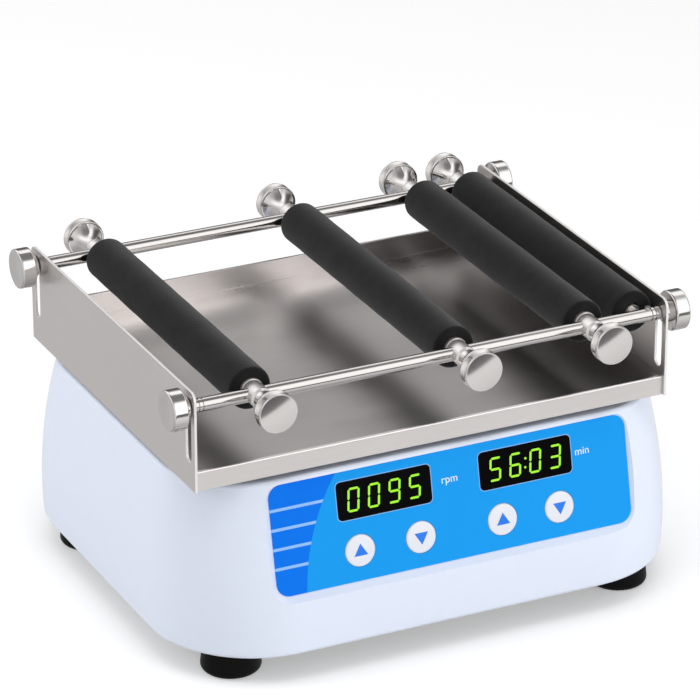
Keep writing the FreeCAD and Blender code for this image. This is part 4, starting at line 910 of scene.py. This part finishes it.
# %% Thumb knob's profile
THUMB_SHANK = 2.5
THUMB_SHANK_END = 4.2
THUMB_NECK = 5.0
NECK_EASE = 0.3
THUMB_CONE = 9.2
THUMB_HEAD = 7.2
FLARE_START = THUMB_SHANK_END + 0.8
FLARE_POWER = 2.6
RIM_LOW = 0.7
RIM_HIGH = 0.6
RIM_STEP = 0.15
FACE_MARGIN = 0.5
FACE_CROWN = 0.7


def thumb_profile(length, radius):
    """From the shank's tip to the middle of the face. The flare is neck + (cone - neck) times a power
    of the share of the way, and the face is a shallow crown: height = length - crown (r / R) squared."""
    head_low = length - THUMB_HEAD
    face_low = length - FACE_CROWN
    face_radius = radius - FACE_MARGIN
    start = eased([(0, 0), (THUMB_SHANK, 0), (THUMB_SHANK, THUMB_SHANK_END),
                   (THUMB_NECK - NECK_EASE, THUMB_SHANK_END),
                   (THUMB_NECK, THUMB_SHANK_END + NECK_EASE)])
    share = np.linspace(0, 1, 14)
    flare = THUMB_NECK + (THUMB_CONE - THUMB_NECK) * share ** FLARE_POWER
    cone = np.stack([flare, FLARE_START + share * (head_low - FLARE_START)], axis=1)
    rim = eased([(THUMB_CONE, head_low), (radius - 0.1, head_low, 0.4), (radius, head_low + RIM_LOW),
                 (radius, face_low - RIM_HIGH), (radius - RIM_STEP, face_low - RIM_HIGH + 0.1, 0.05),
                 (radius - RIM_STEP, face_low, 0.25), (face_radius, face_low)], steps=6)
    side = np.linspace(head_low + RIM_LOW + 0.2, face_low - RIM_HIGH - 0.2, 4)
    knurled = np.stack([np.full(4, radius), side], axis=1)
    across = np.linspace(face_radius, 0, 24)
    crown = length - FACE_CROWN * (across / face_radius) ** 2
    face = np.stack([across, crown], axis=1)[1:]
    split = int(np.argmax(rim[:, 1] > head_low + RIM_LOW - 0.01)) + 1
    return np.vstack([start, cone, rim[1:split], knurled, rim[split:], face])


print("thumb knob: head", THUMB_HEAD, "crown", FACE_CROWN)

# %% [markdown]
# The end knobs are plain: a small boss against the plate, then a head with eased edges and a shallow
# dish in its face.

# %% End knob's profile
END_BOSS = 5.5
END_BOSS_END = 3.0
END_BOSS_ROUND = 0.3
END_ROUND = 0.9
END_RIM = 2.2
END_DISH = 0.5


def end_profile(length, radius):
    """From the boss's foot to the middle of the face. The dish's depth grows with the sine of the share
    of the way in, over a quarter turn."""
    rim = eased([(END_BOSS, END_BOSS_END), (radius, END_BOSS_END, END_ROUND),
                 (radius, length, END_ROUND), (radius - END_RIM, length)], steps=6)
    share = np.linspace(0, 1, 8)[1:]
    dish = np.stack([(radius - END_RIM) * (1 - share),
                     length - END_DISH * np.sin(share * math.pi / 2)], axis=1)
    base = eased([(0, 0), (END_BOSS, 0, END_BOSS_ROUND), (END_BOSS, END_BOSS_END)])[:-1]
    side = np.linspace(END_BOSS_END + END_ROUND + 0.3, length - END_ROUND - 0.3, 4)
    side = np.stack([np.full(4, radius), side], axis=1)
    cut = int(np.argmax(rim[:, 1] > (END_BOSS_END + length) / 2))
    return np.vstack([base, rim[:cut], side, rim[cut:], dish])


print("end knob: boss", END_BOSS, "dish", END_DISH)

# %% [markdown]
# A knob's length, radius and place come from the box of the solid that it replaces. The knurl needs
# four points around the rim for every tooth.

# %% Knobs
THUMB_TEETH = 96
THUMB_TOOTH = 0.22
THUMB_TURNS = THUMB_TEETH * 4
END_TURNS = 144


def thumb_knob(node, body, toward):
    """toward is +1 for a knob at the back and -1 for one at the front."""
    low, high = box_mm(node)
    centre = (low + high) / 2
    length = high[1] - low[1]
    radius = (high[0] - low[0]) / 2
    origin = (centre[0], low[1] if toward > 0 else high[1], centre[2])
    knurl_low = length - THUMB_HEAD + RIM_LOW + 0.05
    knurl_high = length - FACE_CROWN - RIM_HIGH - 0.02

    def knurl(r, h, a):
        """The radius drops by the tooth's depth times a triangle wave of the angle, on the rim only."""
        tooth = np.abs((a * THUMB_TEETH / (2 * math.pi)) % 1.0 - 0.5) * 2
        on_rim = (h > knurl_low) & (h < knurl_high) & (r > radius - 0.05)
        return -THUMB_TOOTH * tooth * on_rim

    points, faces = lathe(thumb_profile(length, radius), THUMB_TURNS, knurl)
    placed = turn_to(points, origin, (0, toward, 0), (1, 0, 0))
    knob = piece(node + "_turned", placed, faces, KNOB, body, sharp=32)
    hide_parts(node)


def end_knob(node, body, toward):
    """toward is +1 for a knob at the right and -1 for one at the left."""
    low, high = box_mm(node)
    centre = (low + high) / 2
    origin = (low[0] if toward > 0 else high[0], centre[1], centre[2])
    points, faces = lathe(end_profile(high[0] - low[0], (high[1] - low[1]) / 2), END_TURNS)
    placed = turn_to(points, origin, (toward, 0, 0), (0, 0, 1))
    knob = piece(node + "_turned", placed, faces, KNOB, body, sharp=32)
    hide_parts(node)


for number in (1, 2, 3, 4):
    if number < 4:
        thumb_knob("bar_%d_front_knob" % number, "bar_%d_front_clamp" % number, -1)
    thumb_knob("bar_%d_rear_knob" % number, "bar_%d_rear_clamp" % number, 1)
for name, toward in (("front_left", -1), ("rear_left", -1), ("front_right", 1), ("rear_right", 1)):
    end_knob(name + "_knob", name + "_clamp", toward)
print("seven thumb knobs and four end knobs")

# %% [markdown]
# ## Finishes on the solids
# The side plates are cut from sheet. The cut edges and the slots' rims are never brushed, so they are
# duller and less metallic than the faces, and their lighter colour is a painted highlight: the thin
# bright line along each edge. The mask for them follows the sheet's thickness: a point belongs
# to an edge where it lies between the sheet's two faces.

# %% Sheared edges with a painted highlight
EDGE_METALLIC = 0.35
EDGE_ROUGHNESS = 0.5
# The edges' lighter colour is a painted highlight: the thin bright line along each cut edge.
EDGE_HIGHLIGHT_COLOUR = (0.86, 0.84, 0.83)
FACE_SKIN = 0.12


def sheared_edges_and_highlight(material, mask_of):
    """Blends the edge's metallic, roughness and lighter colour, which is a painted highlight, over the
    faces' own. The mask is 1 on edges.
    """
    tree = material.node_tree
    shader = tree.nodes["Principled BSDF"]
    edge = mask_of(tree, axes_of(tree, place_of(tree)))
    for name, on_edge in (("Metallic", EDGE_METALLIC), ("Roughness", EDGE_ROUGHNESS),
                          ("Base Color", (*EDGE_HIGHLIGHT_COLOUR, 1))):
        socket = shader.inputs[name]
        blend = tree.nodes.new("ShaderNodeMix")
        blend.data_type = "RGBA" if name == "Base Color" else "FLOAT"
        tree.links.new(edge, blend.inputs["Factor"])
        under = socket.links[0].from_socket if socket.is_linked else socket.default_value
        feed(tree, under, blend.inputs["A"])
        feed(tree, on_edge, blend.inputs["B"])
        tree.links.new(blend.outputs["Result"], socket)


left_low = box_mm("left_side_plate")[0]
right_low, right_high = box_mm("right_side_plate")
PLATE_MIDDLE = (left_low[0] + right_high[0]) / 2
PLATE_REACH = (right_low[0] + right_high[0]) / 2 - PLATE_MIDDLE
EDGE_HALF = (right_high[0] - right_low[0]) / 2 - FACE_SKIN


def plate_edges(tree, axes):
    """Between the faces: | |x - middle| - reach | is under half the thickness, less a thin skin."""
    from_middle = math_node(tree, "SUBTRACT", axes["X"], PLATE_MIDDLE * MM)
    away = math_node(tree, "ABSOLUTE", from_middle)
    off_centre = math_node(tree, "ABSOLUTE", math_node(tree, "SUBTRACT", away, PLATE_REACH * MM))
    return math_node(tree, "LESS_THAN", off_centre, EDGE_HALF * MM)


sheared_edges_and_highlight(SIDE, plate_edges)
print("sheared edges on the side plates")

# %% [markdown]
# The other solids keep their shape. Their corners are sharp to the micron, and nothing real is: on
# the housing, the platform, the side plates, the mains inlet and the switch, a Weld modifier joins
# the loose triangles, a Decimate joins those that lie in one plane, and a small Bevel then rounds
# the sharp edges, which gives each of them a thin bright line where the light catches it. The
# housing is curved all over, so no Decimate joins its triangles, and even its gentler corners, down
# to 24 degrees, are rounded.

# %% Dress the solids
WELD_REACH = 0.002
FLAT_ANGLE = 0.6
SHARP_ANGLE = 35


def soften(node, width, angle=SHARP_ANGLE, flat=FLAT_ANGLE):
    """Rounds a solid's sharp edges by width in mm. Without flat, no triangles are joined."""
    thing = NODES[node]
    weld = thing.modifiers.new("join_triangles", "WELD")
    weld.merge_threshold = WELD_REACH * MM
    if flat:
        merge = thing.modifiers.new("join_flat_faces", "DECIMATE")
        merge.decimate_type = "DISSOLVE"
        merge.angle_limit = math.radians(flat)
    round_off = thing.modifiers.new("ease_edges", "BEVEL")
    round_off.width = width * MM
    round_off.segments = 2
    round_off.limit_method = "ANGLE"
    round_off.angle_limit = math.radians(angle)
    round_off.harden_normals = False
    round_off.miter_outer = "MITER_ARC"
    even = thing.modifiers.new("even_shading", "WEIGHTED_NORMAL")
    even.keep_sharp = True


def dress(material, *nodes):
    """Gives one material to the whole of each node."""
    for node in nodes:
        mesh = NODES[node].data
        mesh.materials.clear()
        mesh.materials.append(material)
        mesh.polygons.foreach_set("material_index", np.zeros(len(mesh.polygons), np.int32))


dress(HOUSING, "housing")
dress(LABEL, "panel_label")
dress(WINDOW_FILM, "display_windows")
dress(DISPLAY_BODY, "led_displays", "key_switches")
dress(BOARD, "control_board", "power_supply")
dress(FOOT, "rubber_feet")
dress(PAINTED, "base_plate")
dress(SCREW, "foot_screws", "platform_screws")
dress(BLACK_PLASTIC, "mains_inlet", "power_switch", "switch_rocker")
dress(ALUMINIUM, "bearing_deck", "deck_pillars", "motor_bracket", "motor_pulley", "drive_pulley",
      "shaft_block", "carrier_plate")
dress(MOTOR_PAINT, "motor")
dress(BELT, "drive_belt")
dress(CRANK, "counterweight", "main_crank", "idler_crank_1", "idler_crank_2", "idler_crank_3",
      "idler_crank_4")
dress(BEARING, "deck_bearings", "carrier_bearings")
dress(PLATFORM, "platform")
dress(SIDE, "left_side_plate", "right_side_plate")
dress(ROD, "front_rod", "rear_rod")
dress(COLLAR, "bar_1_core", "bar_2_core", "bar_3_core", "bar_4_core")
soften("housing", 0.5, angle=24, flat=None)
for node, width in (("platform", 0.4), ("left_side_plate", 0.3), ("right_side_plate", 0.3),
                    ("mains_inlet", 0.4), ("power_switch", 0.4), ("switch_rocker", 0.3)):
    soften(node, width)
print("solids dressed")

# %% [markdown]
# ## Floor and light
# The floor is wide and pale. A little glow that only the camera sees lifts it to white, and its
# shadow stays. Rays that bounce off metal pass through it and meet the sky below instead, so the
# undersides of rods and knobs aren't washed out by it.

# %% Floor
FLOOR_SIZE = 6.0
FLOOR_LIFT = 0.3
FLOOR_DARK = (0.90, 0.90, 0.90)
FLOOR_LIGHT = (0.92, 0.92, 0.92)
floor_mesh = bpy.data.meshes.new("floor")
corners = np.array([[-1, -1, 0], [1, -1, 0], [1, 1, 0], [-1, 1, 0]]) * FLOOR_SIZE
floor_mesh.from_pydata(corners.tolist(), [], [[0, 1, 2, 3]])
floor = add_object("floor", floor_mesh)
FLOOR_PAINT, floor_tree, floor_shader = new_material("floor_paint", FLOOR_DARK, roughness=0.9)
floor_grain = use_group(floor_tree, GRAIN, place_of(floor_tree), Lumps_per_metre=3.0)
tint(floor_tree, floor_shader, floor_grain.outputs["Tone"], FLOOR_DARK, FLOOR_LIGHT)
ray = floor_tree.nodes.new("ShaderNodeLightPath")
clear = floor_tree.nodes.new("ShaderNodeBsdfTransparent")
floor_blend = floor_tree.nodes.new("ShaderNodeMixShader")
floor_shader.inputs["Emission Color"].default_value = (1, 1, 1, 1)
floor_lift = math_node(floor_tree, "MULTIPLY", ray.outputs["Is Camera Ray"], FLOOR_LIFT)
floor_output = floor_tree.nodes["Material Output"]
floor_tree.links.new(floor_lift, floor_shader.inputs["Emission Strength"])
floor_tree.links.new(ray.outputs["Is Glossy Ray"], floor_blend.inputs["Fac"])
floor_tree.links.new(floor_shader.outputs["BSDF"], floor_blend.inputs[1])
floor_tree.links.new(clear.outputs["BSDF"], floor_blend.inputs[2])
floor_tree.links.new(floor_blend.outputs["Shader"], floor_output.inputs["Surface"])
floor_mesh.materials.append(FLOOR_PAINT)
print("floor", FLOOR_SIZE * 2, "m wide")

# %% [markdown]
# Three large soft lamps light the machine plainly: one behind on the left, a low one in front on the
# right that reaches under the tray, and one above. Neither the camera nor the metal sees them.

# %% Lamps
def lamp(name, place, aim, size, power):
    """A rectangular lamp that points from its place to the aim. Its power is in watts."""
    data = bpy.data.lights.new(name, "AREA")
    data.shape = "RECTANGLE"
    data.size, data.size_y = size
    data.energy = power
    thing = add_object(name, data)
    thing.location = place
    thing.rotation_euler = (Vector(aim) - Vector(place)).to_track_quat("-Z", "Y").to_euler()
    thing.visible_glossy = False
    thing.visible_camera = False


MIDDLE = (0, 0, 0.09)
lamp("left_lamp", (-1.63, 0.76, 0.8), MIDDLE, (1.1, 0.9), 11.5)
lamp("front_lamp", (0.9, -1.56, 0.42), MIDDLE, (1.2, 0.7), 12.5)
lamp("top_lamp", (-0.2, -0.4, 1.8), MIDDLE, (1.2, 0.8), 7.5)
print("three lamps")

# %% [markdown]
# Metal only shows what it mirrors, so the sky that glossy rays meet has tones of its own. Each list
# below gives (height, grey) along one side of the room: -1 is straight down, 0 is the horizon and 1
# is straight up. The dark bands draw the lines along the rods and rims.

# %% What the metal mirrors
SKY_GREY = (0.5, 0.5, 0.5)
WHITE = (1.0, 1.0, 1.0)
FRONT_TONES = ((-1.0, 0.5), (-0.6, 0.95), (-0.42, 1.05), (-0.33, 1.05), (-0.29, 0.28), (-0.14, 0.17),
               (-0.09, 0.2), (0.0, 1.8), (0.76, 1.9), (0.83, 1.3), (0.89, 0.3), (1.0, 0.25))
BACK_TONES = ((-1.0, 0.45), (-0.5, 0.7), (-0.30, 0.75), (-0.10, 0.40), (0.02, 0.12), (0.34, 0.16),
              (0.48, 0.30), (0.60, 0.95), (0.68, 1.6), (0.84, 1.5), (0.89, 0.3), (1.0, 0.25))
LEFT_TONES = ((-1.0, 0.45), (-0.6, 0.55), (-0.41, 0.66), (-0.15, 0.62), (0.10, 0.75), (0.30, 1.0),
              (0.45, 1.5), (0.60, 1.6), (0.75, 1.2), (0.90, 0.4), (1.0, 0.3))
SIDE_TONES = ((-1.0, 0.5), (-0.5, 0.85), (0.0, 0.95), (0.5, 1.05), (0.9, 0.6), (1.0, 0.3))
world = bpy.data.worlds.new("studio")
bpy.context.scene.world = world
world.use_nodes = True
sky = world.node_tree


def tone_ramp(tones, over):
    """A ramp whose stops are the tones. A stop for the height z lies at (z + 1) / 2."""
    ramp = sky.nodes.new("ShaderNodeValToRGB")
    while len(ramp.color_ramp.elements) < len(tones):
        ramp.color_ramp.elements.new(1.0)
    for element, (at, grey) in zip(ramp.color_ramp.elements, tones):
        element.position = at / 2 + 0.5
        element.color = (grey, grey, grey, 1)
    sky.links.new(over, ramp.inputs["Fac"])
    return ramp.outputs["Color"]


print("tones", len(FRONT_TONES), len(BACK_TONES), len(LEFT_TONES), len(SIDE_TONES))

# %% [markdown]
# The room is put together from the lists. From the camera, faces that look to the front and the long
# rods mirror directions with x near 0.4, so the front's bands lie there and slant a little across
# it, and away from it the calm side tones take over, the sooner the higher. The camera itself and
# what shines through see plain white, and everything else gets the even sky grey.

# %% Sky
MIDDLE_X = 0.4
SLANT = 0.25
BLEND_RATE = 4.0
BLEND_RATE_RISE = 12.0
BLEND_START = -1.2
BEHIND_RATE, BEHIND_SHIFT = 2.0, 0.5
LEFT_RATE, LEFT_SHIFT = -3.3, 0.67
direction = sky.nodes.new("ShaderNodeTexCoord").outputs["Generated"]
x, y, z = axes_of(sky, direction)
height = math_node(sky, "MULTIPLY_ADD", z, 0.5, 0.5)
from_middle = math_node(sky, "SUBTRACT", MIDDLE_X, x)
slanted = math_node(sky, "MULTIPLY_ADD", from_middle, SLANT, height)
rising = math_node(sky, "MULTIPLY_ADD", z, BLEND_RATE_RISE, BLEND_RATE)
rate = math_node(sky, "MAXIMUM", rising, BLEND_RATE)
aside = math_node(sky, "MULTIPLY_ADD", math_node(sky, "ABSOLUTE", from_middle), rate, BLEND_START,
                  clamp=True)
behind = math_node(sky, "MULTIPLY_ADD", y, BEHIND_RATE, BEHIND_SHIFT, clamp=True)
leftwards = math_node(sky, "MULTIPLY_ADD", x, LEFT_RATE, LEFT_SHIFT, clamp=True)
room_in_front = colour_mix(sky, aside, tone_ramp(FRONT_TONES, slanted), tone_ramp(SIDE_TONES, height))
room_behind = colour_mix(sky, leftwards, tone_ramp(BACK_TONES, height), tone_ramp(LEFT_TONES, height))
mirrored_room = colour_mix(sky, behind, room_in_front, room_behind)
paths = sky.nodes.new("ShaderNodeLightPath")
lit = colour_mix(sky, paths.outputs["Is Glossy Ray"], SKY_GREY, mirrored_room)
seen = math_node(sky, "ADD", paths.outputs["Is Camera Ray"], paths.outputs["Is Transmission Ray"],
                 clamp=True)
sky.links.new(colour_mix(sky, seen, lit, WHITE), sky.nodes["Background"].inputs["Color"])
bpy.context.scene.view_settings.view_transform = "Standard"
print("sky grey", SKY_GREY)
